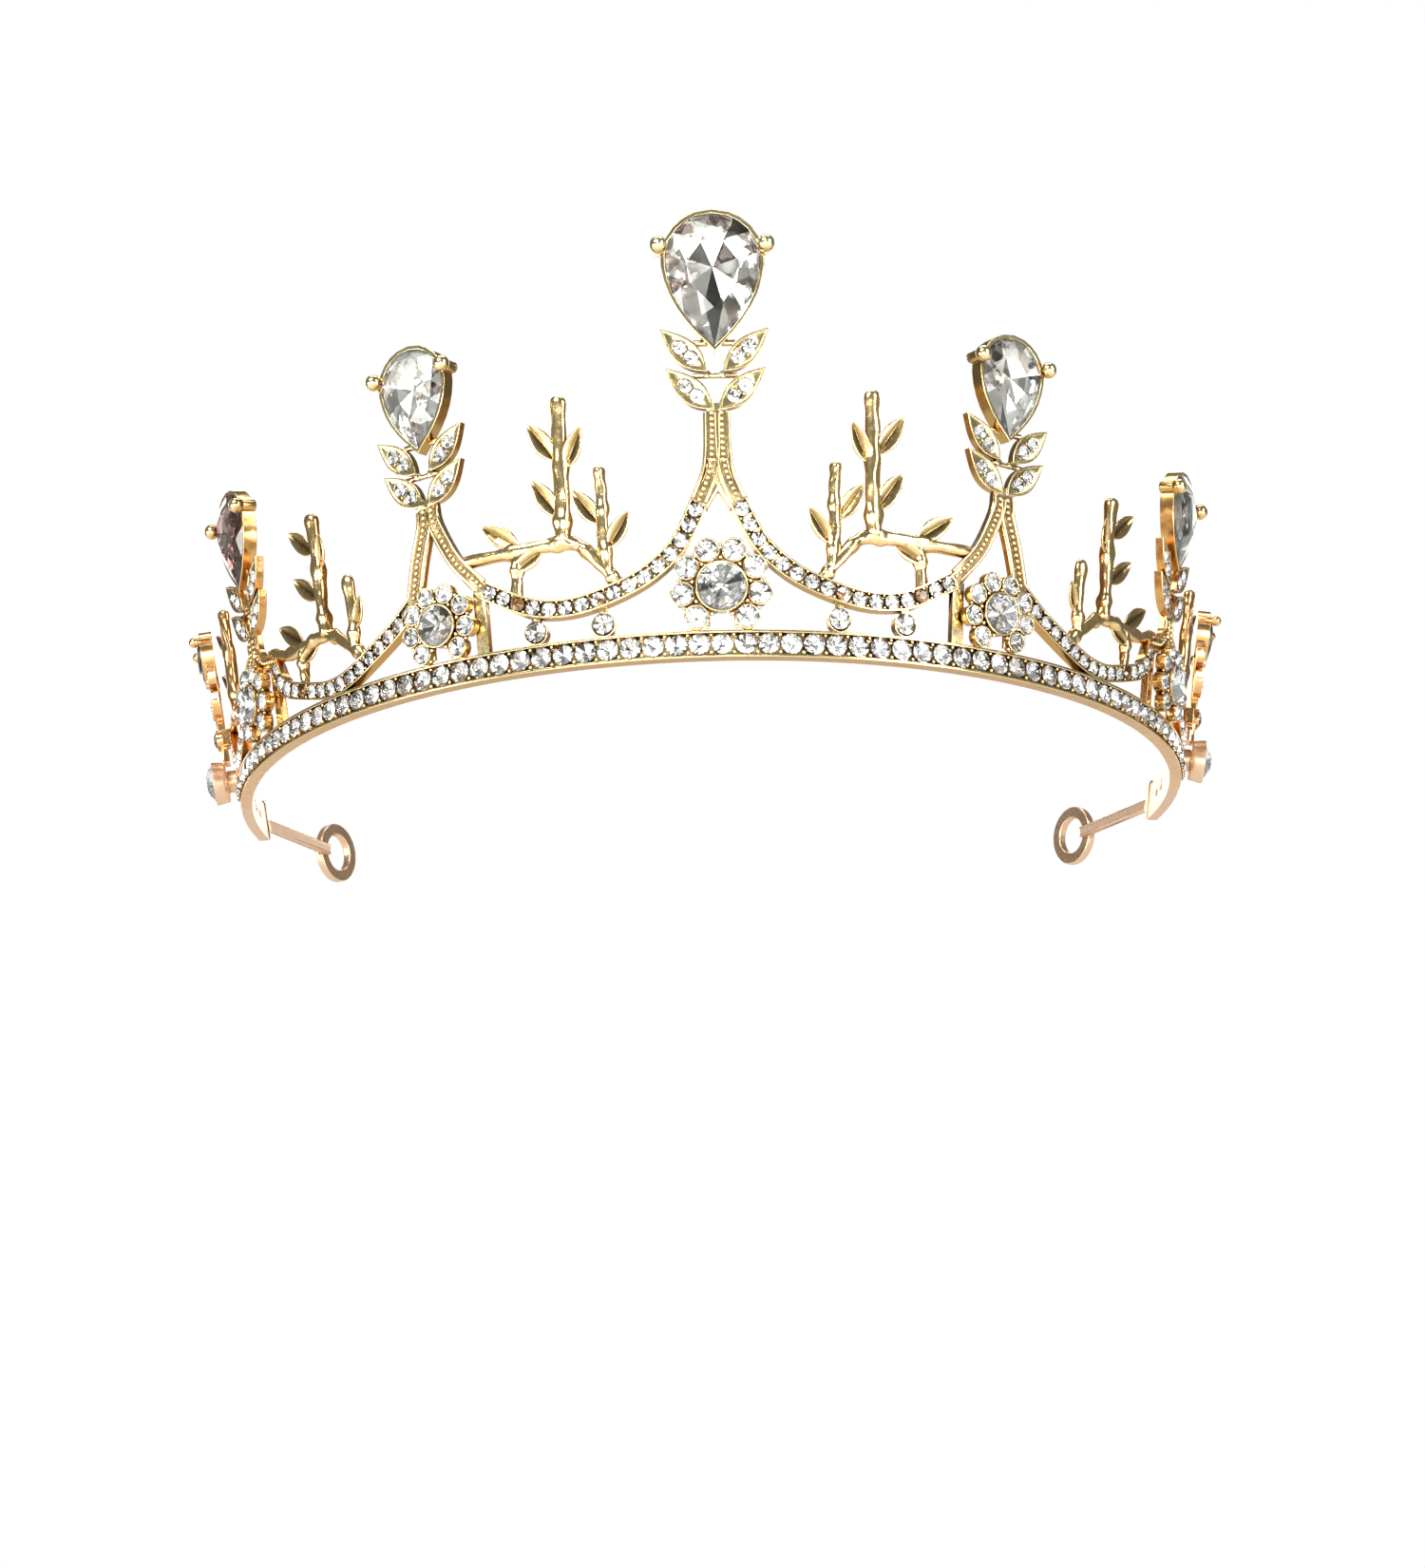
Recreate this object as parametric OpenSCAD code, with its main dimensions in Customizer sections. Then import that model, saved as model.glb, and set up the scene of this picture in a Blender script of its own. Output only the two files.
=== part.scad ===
// Bridal tiara: a horseshoe base band with a row of round stones, a leaning crest of
// pear-stone heads on forked frames, stone-set swags, flower clusters and leafy sprigs.
// The band stands on z = 0, the front faces -Y, and the origin is the middle of the front
// of the band's underside, halfway through its thickness.
// a = length along the band from the middle of the front, z = height, n = outward offset.

/* [Overall] */
// Outside diameter of the base band at the rest plane
band_dia = 145; // [115:1:180]
// Height of the top of the middle pear stone
crest_h = 60.3; // [46:1:74]
// Outward lean of the crest from upright, degrees
crest_lean = 8.8; // [0:0.2:14]
// Angle from the front to an inner side head, degrees
inner_ang = 31.3; // [28:0.1:34]
// Angle from the front to an outer side head, degrees
outer_ang = 64; // [60:0.5:67]
// Height of the top of the two inner side heads
inner_h = 47.5; // [40:0.5:60]
// Height of the top of the two outer side heads
outer_h = 40.6; // [36:0.5:52]

/* [Base band] */
// Height of the base band
band_h = 3.6; // [3:0.1:5]
// Thickness of the base band
band_t = 1.8; // [1.6:0.1:3]
// Girdle diameter of a stone in the base row
row_stone_d = 2.86; // [2.2:0.02:3.6]
// Gap between neighbouring stones in the base row
row_gap = 0.2; // [0.1:0.05:0.6]
// Angle from the front to where the base row and band stop, degrees
band_end = 84; // [80:0.5:88]

/* [Swags] */
// Width of a swag rail
rail_w = 2.5; // [2.2:0.1:3.2]
// Girdle diameter of a stone in a swag or a leaf
small_stone_d = 1.98; // [1.5:0.02:2.1]
// Gap between neighbouring stones in a swag
small_gap = 0.22; // [0.12:0.02:0.6]
// Depth of the crest metal from front to back
crest_t = 1.5; // [1.2:0.1:2.2]
// How far an inner swag hangs below its two ends
swag_drop = 4; // [2:0.1:5]

/* [Pear stones] */
// Width of the middle pear stone
mid_pear_w = 13; // [10:0.5:15]
// Height of the middle pear stone
mid_pear_h = 18.4; // [15:0.1:20]
// Width of a side pear stone
side_pear_w = 10; // [8:0.5:12]
// Height of a side pear stone
side_pear_h = 14; // [12:0.5:16]
// Width of a small end pear stone
end_pear_w = 6; // [5:0.5:7]
// Height of a small end pear stone
end_pear_h = 8; // [7:0.5:10]
// Wall of a pear setting outside the stone
pear_wall = 0.55; // [0.4:0.05:0.9]
// Depth of a pear setting from front to back
pear_depth = 2.1; // [1.8:0.1:2.6]
// Radius of the bead on a claw of a small end pear
end_claw_r = 0.8; // [0.6:0.05:1]
// Radius of the bead on a claw
claw_r = 1.2; // [0.8:0.05:1.4]

/* [Flowers] */
// Diameter of the middle flower's centre stone
mid_flower_d = 6.5; // [5.5:0.1:7.5]
// Diameter of the middle flower's petal stones
mid_petal_d = 2.9; // [2.4:0.1:3.1]
// Radius of the circle of petals in the middle flower
mid_petal_ring = 5.25; // [5.2:0.05:6]
// Size of a side flower against the middle one
side_flower_scale = 0.85; // [0.75:0.01:0.9]

/* [Leaf sprays] */
// Length of a stone-set leaf
plate_len = 8.6; // [7:0.1:9.5]
// Width of a stone-set leaf
plate_w = 3.5; // [3:0.1:4]
// Length of a sprig leaf
leaf_len = 5.5; // [4.5:0.1:6.6]
// Width of a sprig leaf
leaf_w = 2.6; // [2:0.1:3.2]
// Thickness of a sprig leaf
leaf_t = 0.6; // [0.4:0.05:0.9]
// Width of a sprig's main stem
stem_d = 2.15; // [1.6:0.05:2.4]
// Width of a sprig's arches and side stems
twig_d = 1.75; // [1.3:0.05:2]

/* [Ends] */
// Height of the plate at each end of the band
plate_h = 6.2; // [5:0.1:8]
// Diameter of the round stone at each end
end_stone_d = 6; // [5:0.1:7]
// Outside diameter of an eyelet
eye_d = 9.8; // [9:0.1:12]
// Hole diameter of an eyelet
eye_hole = 6; // [4:0.1:6.4]
// Thickness of an eyelet
eye_t = 1.4; // [1:0.1:2]
// Angle from the front to the middle of an eyelet, degrees
eye_ang = 120.5; // [116:0.5:124]
// Width of the arm that carries an eyelet
arm_w = 1.8; // [1.5:0.1:3]

/* [Hidden] */
$fn = 40;

// --- shared fits
bite = 0.02;        // how far a stone's girdle is gripped by its seat all round
solder = 0.1;       // how deep soldered parts run into each other
sunk = min(solder, (band_h - row_stone_d) / 2 - bite);  // depth of a foot in the band's top wall
R = band_dia / 2;
mid_y = R - band_t / 2;  // centre of the horseshoe, behind the origin
slope = tan(crest_lean);
mm_deg = 180 / (PI * R);
wall_n = -crest_t;  // back of the crest metal
seat_n = -0.15;     // girdle level of every small stone
strip_n = -0.3;     // front of the plain forked strips
flower_n = strip_n - 0.05;

gold = [0.93, 0.76, 0.45];
rose = [0.86, 0.66, 0.48];
glass = [0.86, 0.9, 0.92];

// --- the leaning wall
function wall_r(z) = R + slope * z;
function wall(a, z, n) = let (t = a * mm_deg, r = wall_r(z) + n)
  [r * sin(t), mid_y - r * cos(t), z];
function arc_scale(z) = wall_r(z) / R;
module on_wall(a, z, n = 0) {
  translate([0, mid_y, 0]) rotate([0, 0, a * mm_deg]) translate([0, -wall_r(z) - n, z])
    rotate([90 + crest_lean, 0, 0]) children();
}

// --- smooth line through points, as a chain of short steps
function cr(p0, p1, p2, p3, t) = 0.5 * (2 * p1 + (p2 - p0) * t
  + (2 * p0 - 5 * p1 + 4 * p2 - p3) * t * t + (3 * p1 - p0 - 3 * p2 + p3) * t * t * t);
function knot(k, i) = i < 0 ? 2 * k[0] - k[1]
  : i >= len(k) ? 2 * k[len(k) - 1] - k[len(k) - 2] : k[i];
function smooth(k, m) = concat([for (i = [0:len(k) - 2]) for (j = [0:m - 1])
  cr(knot(k, i - 1), k[i], k[i + 1], knot(k, i + 2), j / m)], [k[len(k) - 1]]);
function dir2(p, i) = let (a = p[max(i - 1, 0)], b = p[min(i + 1, len(p) - 1)],
  s = arc_scale(p[i][1]), d = [(b[0] - a[0]) * s, b[1] - a[1]]) d / norm(d);

// --- length along a line on the wall and the point at a given length
function seg_len(p, i) = let (s = arc_scale((p[i][1] + p[i + 1][1]) / 2),
  d = p[i + 1] - p[i]) norm([d[0] * s, d[1] / cos(crest_lean)]);
function total(p, i = 0) = i >= len(p) - 1 ? 0 : seg_len(p, i) + total(p, i + 1);
function walk(p, d, i = 0) = i >= len(p) - 2 ? p[i] + (p[i + 1] - p[i]) * min(1, d / seg_len(p, i))
  : d <= seg_len(p, i) ? p[i] + (p[i + 1] - p[i]) * d / seg_len(p, i)
  : walk(p, d - seg_len(p, i), i + 1);

// --- a bar swept along a line on the wall; section = list of [across, n], scaled by s[i]
module sweep(p, section, caps, s = []) {
  m = len(section);
  c = len(p);
  pts = [for (i = [0:c - 1]) let (t = dir2(p, i), g = arc_scale(p[i][1]),
    k = len(s) > 0 ? s[min(i, len(s) - 1)] : 1) for (q = section)
    wall(p[i][0] - t[1] * q[0] * k / g, p[i][1] + t[0] * q[0] * k, q[1])];
  sides = [for (i = [0:c - 2]) for (j = [0:m - 1]) let (e = (j + 1) % m)
    for (f = [[i * m + j, i * m + e, (i + 1) * m + e], [i * m + j, (i + 1) * m + e,
      (i + 1) * m + j]]) f];
  first = [for (f = caps) [f[2], f[1], f[0]]];
  last = [for (f = caps) [for (v = f) v + (c - 1) * m]];
  polyhedron(points = pts, faces = concat(sides, first, last), convexity = 6);
}
function ring_caps(m) = [for (j = [1:m - 2]) [0, j, j + 1]];

// --- channel rail that grips a row of small stones
module rail(p) {
  w = rail_w / 2;
  e = small_stone_d / 2 - bite;
  f = seat_n - pav(small_stone_d) - 0.05;
  sweep(p, [[-w, wall_n], [-w, 0], [-e, 0], [-e, f], [e, f], [e, 0], [w, 0], [w, wall_n]],
    [[0, 3, 4], [0, 4, 7], [0, 1, 2], [0, 2, 3], [4, 5, 6], [4, 6, 7]]);
}
// --- plain strip with bevelled front edges
module strip(p, w, front = strip_n, s = []) {
  sweep(p, [[-w / 2, wall_n + 0.03], [-w / 2, front - 0.25], [-w / 2 + 0.25, front],
    [w / 2 - 0.25, front], [w / 2, front - 0.25], [w / 2, wall_n + 0.03]], ring_caps(6), s);
}
// --- twig: a roundish bar
twig_n = -0.9;      // middle of a twig's depth
module twig(p, d, s = [], mid = twig_n) {
  sweep(p, [for (k = [0:5]) [-d / 2 * cos(60 * k), mid + d * 0.42 * sin(60 * k)]],
    ring_caps(6), s);
}

// --- round stones: table, crown, thin girdle and pointed back
function pav(d) = 0.4 * d;
function crown(d) = 0.2 * d;
module round_stone(d) {
  rotate_extrude() polygon([[0, -pav(d)], [d / 2, -0.05 * d], [d / 2, 0.02 * d],
    [0.29 * d, crown(d)], [0, crown(d)]]);
}
module stones_on(p, d, gap) {
  run = total(p) - d - gap;
  c = floor(run / (d + gap)) + 1;
  for (i = [0:c - 1]) let (q = walk(p, (d + gap) / 2 + run * i / max(c - 1, 1)))
    on_wall(q[0], q[1], seat_n) round_stone(d);
}
// --- round cup, bored for a stone
module cup(d, wall_w, base_n, top_n) {
  translate([0, 0, base_n]) difference() {
    cylinder(d = d + 2 * wall_w, h = top_n - base_n);
    translate([0, 0, 0.35]) cylinder(d = d - 2 * bite, h = top_n - base_n);
  }
}

// --- pear outline: a round head and two sides that close to a point at the bottom
function pear_x(v) = v <= 0.36 ? sqrt(max(0, 1 - pow((0.36 - v) / 0.36, 2)))
  : cos(90 * pow((v - 0.36) / 0.64, 1.25)) * (1 - 0.06 * sin(180 * (v - 0.36) / 0.64));
pear_steps = [0.0, 0.02, 0.06, 0.12, 0.2, 0.3, 0.4, 0.5, 0.6, 0.7, 0.8, 0.88, 0.95];
function pear_half(w, h) = [for (v = pear_steps) [w / 2 * pear_x(v), h / 2 - h * v]];
function pear_ring(w, h, g = 0) = let (q = pear_half(w + 2 * g, h + 2 * g), c = len(q))
  concat([for (i = [0:c - 1]) q[i]], [[0, -h / 2 - 1.3 * g]],
    [for (i = [c - 1:-1:1]) [-q[i][0], q[i][1]]]);

module pear_stone(w, h) {
  c = len(pear_ring(w, h));
  function lay(k, n) = [for (q = pear_ring(w, h)) [q[0] * k, q[1] * k, n]];
  up = 0.13 * w;
  down = min(pear_depth - 0.45, 0.2 * w);
  pts = concat([[0, 0, -down]], lay(0.62, -down * 0.72), lay(1, -0.12), lay(1, 0.12),
    lay(0.86, up * 0.62), lay(0.6, up), [[0, 0, up]]);
  function nx(i) = (i + 1) % c;
  function band(a, b) = [for (i = [0:c - 1]) for (f = [[a + i, a + nx(i), b + nx(i)],
    [a + i, b + nx(i), b + i]]) f];
  polyhedron(points = pts, faces = concat([for (i = [0:c - 1]) [0, 1 + nx(i), 1 + i]],
    band(1, 1 + c), band(1 + c, 1 + 2 * c), band(1 + 2 * c, 1 + 3 * c),
    band(1 + 3 * c, 1 + 4 * c), [for (i = [0:c - 1]) [1 + 5 * c, 1 + 4 * c + i,
    1 + 4 * c + nx(i)]]), convexity = 4);
}
module pear_setting(w, h, bead) {
  difference() {
    linear_extrude(pear_depth) polygon(pear_ring(w, h, pear_wall));
    translate([0, 0, 0.35]) linear_extrude(pear_depth) polygon(pear_ring(w, h, -bite));
  }
  y = h / 2 - 0.25 * h;
  for (s = [-1, 1]) translate([s * (w / 2 + bead * 0.6), y, 0]) {
    cylinder(r = bead * 0.72, h = pear_depth + 0.8);
    translate([0, 0, pear_depth + 0.75]) sphere(r = bead);
  }
}

// --- stone-set leaf: a tray along +X with a raised rim and two bores
function leaf_pts(l, w) = concat([for (t = [0:0.1:1]) [l * t, w / 2 * sin(180 * pow(t, 0.85))]],
  [for (t = [0.9:-0.1:0.05]) [l * t, -w / 2 * sin(180 * pow(t, 0.85))]]);
function leaf_seats(k) = [0.33 * plate_len * k, 0.33 * plate_len * k + small_stone_d + 0.12];
module leaf_plate(k) {
  difference() {
    translate([0, 0, -1.25]) linear_extrude(1.25) polygon(leaf_pts(plate_len * k, plate_w));
    translate([0.45, 0, -0.12]) linear_extrude(1)
      polygon(leaf_pts(plate_len * k - 0.95, plate_w - 0.7));
    for (x = leaf_seats(k)) translate([x, 0, seat_n - pav(small_stone_d) - 0.05])
      cylinder(d = small_stone_d - 2 * bite, h = 3);
  }
}
// leaf places in a head: [across, below the pear's tip, angle]
function spray(k) = [[1.1, -3.3, 43.5], [0.35, -8.5 * k, 41.5]];
module leaf_spray(q) {
  k = q[4];
  for (s = [0, 1]) mirror([s, 0, 0]) {
    for (f = spray(k)) translate([f[0], f[1], 0]) rotate(f[2]) leaf_plate(k);
    // stub that meets the side of the pear setting
    difference() {
      translate([0.3, 0.75, -0.8]) rotate([0, 90, 0]) cylinder(r = 0.42, h = 2.5);
      translate([0, q[3] / 2, -3]) linear_extrude(6)
        polygon(pear_ring(q[2], q[3], pear_wall - 2 * solder));
    }
    translate([spray(k)[0][0], spray(k)[0][1] - 0.3, -1.1]) cylinder(r = 0.5, h = 0.85);
  }
  translate([-3, -3.75, -0.7]) rotate([0, 90, 0]) cylinder(r = 0.35, h = 6);
  translate([-1.35, -8.9 * k, -1.3]) cube([2.7, 1.3, 1.1]);
}
module spray_stones(k) {
  for (s = [0, 1]) mirror([s, 0, 0]) for (q = spray(k)) translate([q[0], q[1], seat_n])
    rotate(q[2]) for (x = leaf_seats(k)) translate([x, 0, 0]) round_stone(small_stone_d);
}

// --- heads: [angle, top height, pear width, pear height, size of the spray]
mid_head = [0, crest_h, mid_pear_w, mid_pear_h, 1];
inner_head = [inner_ang, inner_h, side_pear_w, side_pear_h, 0.94];
outer_head = [outer_ang, outer_h, side_pear_w, side_pear_h, 0.94];
function head_a(q) = q[0] / mm_deg;
function foot_shift(q) = q[0] == inner_ang ? 0.8 : 0;
function in_foot(q) = head_a(q) - foot_shift(q) - 6.6;
function out_foot(q) = head_a(q) - foot_shift(q) + 4.6;
function tip_z(q) = q[1] - (q[3] + pear_wall) * cos(crest_lean);
function stem_z(q) = tip_z(q) - 8.6 * q[4] * cos(crest_lean);
module head_place(q, z) { on_wall(head_a(q), z, 0) children(); }
module head_setting(q) {
  color(gold) head_place(q, tip_z(q)) translate([0, q[3] / 2, wall_n])
    pear_setting(q[2], q[3], claw_r * (q[2] > 11 ? 1 : 0.95));
}
module head_stone(q) {
  color(glass) head_place(q, tip_z(q)) translate([0, q[3] / 2, wall_n + pear_depth - 0.12])
    pear_stone(q[2], q[3]);
}
module head_spray(q) { color(gold) head_place(q, tip_z(q)) leaf_spray(q); }

// --- flowers
function petals() = [20, 60, 100, 140, -20, -60, -100, -140];
function flower_a(q) = head_a(q) - foot_shift(q);
function flower_z(k) = band_h - sunk + (mid_petal_ring * cos(40) + mid_petal_d / 2 + 0.2) * k
  * cos(crest_lean);
module flower_setting(k) {
  d = mid_flower_d * k;
  p = mid_petal_d * k;
  r = mid_petal_ring * k;
  translate([0, 0, flower_n]) {
    difference() {
      union() {
        cylinder(d = d + 0.5, h = 2);
        difference() {
          cylinder(r = r + 0.1, h = 0.5);
          translate([-1.6 * k, -r - 1, -1]) cube([3.2 * k, r - d / 2 - 0.1 + 1, 3]);
        }
        for (t = petals()) rotate(-t) translate([0, r, 0]) cylinder(d = p + 0.4, h = 1.5);
      }
      translate([0, 0, 0.3]) cylinder(d = d - 2 * bite, h = 3);
      for (t = petals()) rotate(-t) translate([0, r, 0.3]) cylinder(d = p - 2 * bite, h = 3);
    }
  }
}
module flower_centre(k) {
  d = mid_flower_d * k;
  translate([0, 0, flower_n + 1.75]) rotate_extrude() polygon([[0, -1.35], [d / 2, -0.15],
    [d / 2, 0.12], [0.3 * d, 0.22 * d], [0, 0.22 * d]]);
}
module flower_petals(k) {
  for (t = petals()) rotate(-t) translate([0, mid_petal_ring * k, flower_n + 1.42])
    rotate_extrude() let (d = mid_petal_d * k) polygon([[0, -1.05], [d / 2, -0.1],
      [d / 2, 0.06], [0.28 * d, crown(d)], [0, crown(d)]]);
}
module each_flower() {
  on_wall(0, flower_z(1)) children(0);
  for (s = [0, 1]) mirror([s, 0, 0]) for (q = [inner_head, outer_head])
    on_wall(flower_a(q), flower_z(side_flower_scale)) children(1);
}
module head_flower(q, k) {
  color(gold) on_wall(flower_a(q), flower_z(k)) flower_setting(k);
}

// --- forked frames: two strips that part below the leaf spray
fork_z = min(20.6, stem_z(mid_head) - 4);  // where the middle legs hand over to the swags
leg_w = 2.5;
foot_z = 12;
stem_run = stem_z(mid_head) - fork_z;  // height of the middle fork
// the legs of a low fork are straighter
leg_bow = min(1, stem_run / 12.4);
function leg_x(f, bowed) = bowed * leg_bow + (2.6 - 2.55 * f) * (1 - leg_bow);
function mid_leg() = smooth([[0.05, fork_z + stem_run + 0.3],
  for (q = [[0.55, 0.1], [0.27, 0.7]]) [leg_x(q[0], q[1]), fork_z + q[0] * stem_run],
  [2.6, fork_z]], 4);
module middle_frame() color(gold) {
  strip(mid_leg(), leg_w, strip_n, [1.12]);
  mirror([1, 0, 0]) strip(mid_leg(), leg_w, strip_n - 0.03, [1.1]);
  on_wall(0, stem_z(mid_head) + 0.5, wall_n + 0.05)
    translate([-1.45, -0.56 * stem_run, 0]) cube([2.9, 0.56 * stem_run, crest_t + strip_n + 0.03]);
}
function in_leg(q) = let (a = head_a(q), h = stem_z(q)) smooth([[a - 0.5, h + 0.4],
  [a - 0.9, h - 2.6], [(a + in_foot(q)) / 2 + 0.2, (h + foot_z) / 2 - 1.6],
  [in_foot(q), foot_z]], 4);
function out_leg(q) = let (a = head_a(q), h = stem_z(q)) smooth([[a + 0.5, h + 0.3],
  [a + 0.8, h - 2.8], [(a + out_foot(q)) / 2 + 0.3, (h + foot_z) / 2 - 0.6],
  [out_foot(q), foot_z]], 4);
module side_frame(q) color(gold) {
  strip(in_leg(q), 2.2, strip_n);
  strip(out_leg(q), 2.4, strip_n - 0.03);
  // upright beside the flower, from the foot of the inner leg to the band
  on_wall(in_foot(q) + 0.7, band_h - sunk, wall_n + 0.05)
    translate([-0.9, 0, 0]) cube([1.8, foot_z - band_h + 0.4, crest_t + strip_n - 0.1]);
}

// --- swags
swag_low = band_h - sunk + rail_w / 2;
function in_swag() = let (b = in_foot(inner_head), m = (10.3 + b) / 2)
  smooth([[2.55, fork_z + 0.15], [4.1, 14.3 + 0.492 * (fork_z - 14.3)], [6.1, 14.3], [10.3, 11],
    [(10.3 + m) / 2 + 0.4, link_top + 1.74], [m, link_top + 5.04 - swag_drop],
    [(m + b) / 2 - 0.6, link_top + 1.94],
    [b, foot_z + 0.1]], 4);
function out_swag() = let (a = out_foot(inner_head), b = in_foot(outer_head),
  m = (a + b) / 2 + 0.3) smooth([[a, foot_z + 0.1], [a + 4.2, 9.1], [m - 4.6, swag_low + 1],
    [m, swag_low], [m + 4.4, swag_low + 0.5], [b - 2.6, 8], [b, foot_z + 0.1]], 4);
function end_swag() = let (a = out_foot(outer_head), b = col_ang / mm_deg - 1.6,
  m = (a + b) / 2) smooth([[a, foot_z + 0.1], [a + 4.2, 8.6], [m - 2.4, swag_low + 0.9],
    [m + 0.4, swag_low], [m + 3.6, swag_low + 0.5], [b - 3.2, 8.4], [b, 11.6]], 4);
module inner_swag() color(gold) rail(in_swag());
module outer_swag() color(gold) rail(out_swag());
module last_swag() color(gold) rail(end_swag());

// --- link cups between the base row and the inner swags
function links() = [[0.53 * head_a(inner_head) - 5.3, 2.2], [0.53 * head_a(inner_head) + 4, 0.9]];
link_z = band_h - sunk + (row_stone_d + 0.4) / 2 + 0.2;
link_top = link_z + row_stone_d / 2 + 0.2;
module link_cup(up) {
  difference() {
    cylinder(d = row_stone_d + 0.4, h = crest_t - 0.1);
    translate([0, 0, crest_t + seat_n - 0.332 * row_stone_d]) cylinder(d = row_stone_d - 2 * bite, h = 3);
  }
  translate([-0.6, 1.2, 0]) cube([1.2, up + 0.3, 1.1]);
}

// --- sprigs: each line is [points], each leaf is [a, z, angle, size, tilt]
module leaf(a0, z0, ang, k, tilt) {
  st = [0, 0.12, 0.35, 0.6, 0.82, 1];
  wd = [0.12, 0.55, 0.97, 0.95, 0.6, 0.08];
  l = leaf_len * k;
  w = leaf_w * k;
  g = arc_scale(z0);
  function pt(u, v, n) = wall(a0 + (u * cos(ang) - v * sin(ang)) / g,
    z0 + u * sin(ang) + v * cos(ang), n);
  pts = [for (i = [0:5]) let (u = l * st[i], v = w / 2 * wd[i],
    n = -0.75 + tilt * st[i] * st[i]) for (q = [[v, n + 0.42 * wd[i]], [0, n],
    [-v, n + 0.42 * wd[i]], [-v, n + 0.42 * wd[i] - leaf_t], [0, n - leaf_t],
    [v, n + 0.42 * wd[i] - leaf_t]]) pt(u, q[0], q[1])];
  sides = [for (i = [0:4]) for (j = [0:5]) let (e = (j + 1) % 6)
    for (f = [[i * 6 + j, (i + 1) * 6 + e, i * 6 + e], [i * 6 + j, (i + 1) * 6 + j,
      (i + 1) * 6 + e]]) f];
  cap = [[0, 1, 5], [1, 4, 5], [1, 2, 3], [1, 3, 4]];
  polyhedron(points = pts, faces = concat(sides, cap,
    [for (f = cap) [f[2] + 30, f[1] + 30, f[0] + 30]]), convexity = 4);
}
knots = [1.05, 0.92, 1, 0.9, 1.08, 0.95, 1, 0.9, 1.04, 0.94, 1, 0.92, 1];

b1 = 0.5 * head_a(inner_head) + 0.35;
module inner_sprig() color(gold) {
  a = b1;
  f = head_a(inner_head);
  twig(smooth([[a - 7, 10.4], [a - 5.2, 12.6], [a - 1.8, 16.3], [a + 1.4, 16.9],
    [a + 7, 16.7], [f - 4, 16.5]], 3), twig_d, knots, twig_n);
  twig(smooth([[a + 0.5, 16.6], [a + 0.2, 22], [a + 0.2, 29], [a, 36.9]], 3), stem_d, knots, twig_n);
  twig(smooth([[a - 5.4, 11.9], [a - 5, 17], [a - 5, 22], [a - 4.8, 26.6]], 3), twig_d, knots,
    twig_n + 0.05);
  for (q = [[a + 0.9, 28.3, 57, 1, 0.9], [a - 0.5, 27, 118, 0.95, 1], [a + 0.8, 20.6, 57, 1, 0.9],
    [a - 4.5, 19, 55, 0.95, 0.8], [a - 5.6, 15.7, 126, 0.9, 0.9], [a + 6.6, 17.2, 34, 1, 0.8],
    [a + 3.4, 16.2, 208 + 124, 0.9, 0.5]]) leaf(q[0], q[1], q[2], q[3], q[4]);
  twig([[a + 7, 16.5], [a + 7.3, 12.8], [a + 7.4, 9.2]], twig_d);
}
b2 = 0.5 * (head_a(inner_head) + head_a(outer_head));
module outer_sprig() color(gold) {
  a = b2;
  f = head_a(outer_head);
  twig(smooth([[a - 7.6, 6.9], [a - 4.6, 9.6], [a - 0.4, 12.4], [a + 4, 12.6],
    [a + 9, 12.4], [f - 4.6, 14.4]], 3), twig_d, knots, twig_n);
  twig(smooth([[a + 0.3, 12.2], [a + 0.7, 17], [a + 0.5, 23.5], [a + 0.7, 30.2]], 3), stem_d,
    knots, twig_n);
  twig(smooth([[a - 5.2, 9], [a - 5.6, 13], [a - 5.4, 19.7]], 3), twig_d, knots, twig_n + 0.05);
  for (q = [[a + 1.2, 24.6, 45, 0.95, 0.9], [a - 0.1, 21.8, 110, 0.85, 1],
    [a + 1.2, 18, 43, 0.95, 0.9], [a - 5.9, 11.8, 122, 0.8, 0.9],
    [a + 5.8, 12.9, 36, 1, 0.8], [a + 2.4, 11.9, 338, 0.85, 0.5]])
    leaf(q[0], q[1], q[2], q[3], q[4]);
  twig([[a + 6.4, 12.4], [a + 6.7, 9], [a + 6.8, 5.6]], twig_d);
}
module end_sprig() color(gold) {
  a = 0.5 * (head_a(outer_head) + col_ang / mm_deg) + 1;
  f = head_a(outer_head) + 4.4;
  twig(smooth([[a - 8, 7.2], [a - 4.4, 10], [a - 0.6, 12], [a + 4, 12.4],
    [col_ang / mm_deg - 1, 13.4]], 3), twig_d, knots, twig_n);
  twig(smooth([[a + 0.2, 11.9], [a + 0.4, 17], [a, 23], [a + 0.3, 28.2]], 3), stem_d, knots, twig_n);
  for (q = [[a + 0.9, 21.6, 52, 0.85, 0.9], [a - 0.5, 20, 122, 0.9, 1],
    [a + 0.8, 15.6, 46, 0.85, 0.9], [a - 4.8, 10.2, 128, 0.8, 0.9]])
    leaf(q[0], q[1], q[2], q[3], q[4]);
}

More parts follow.
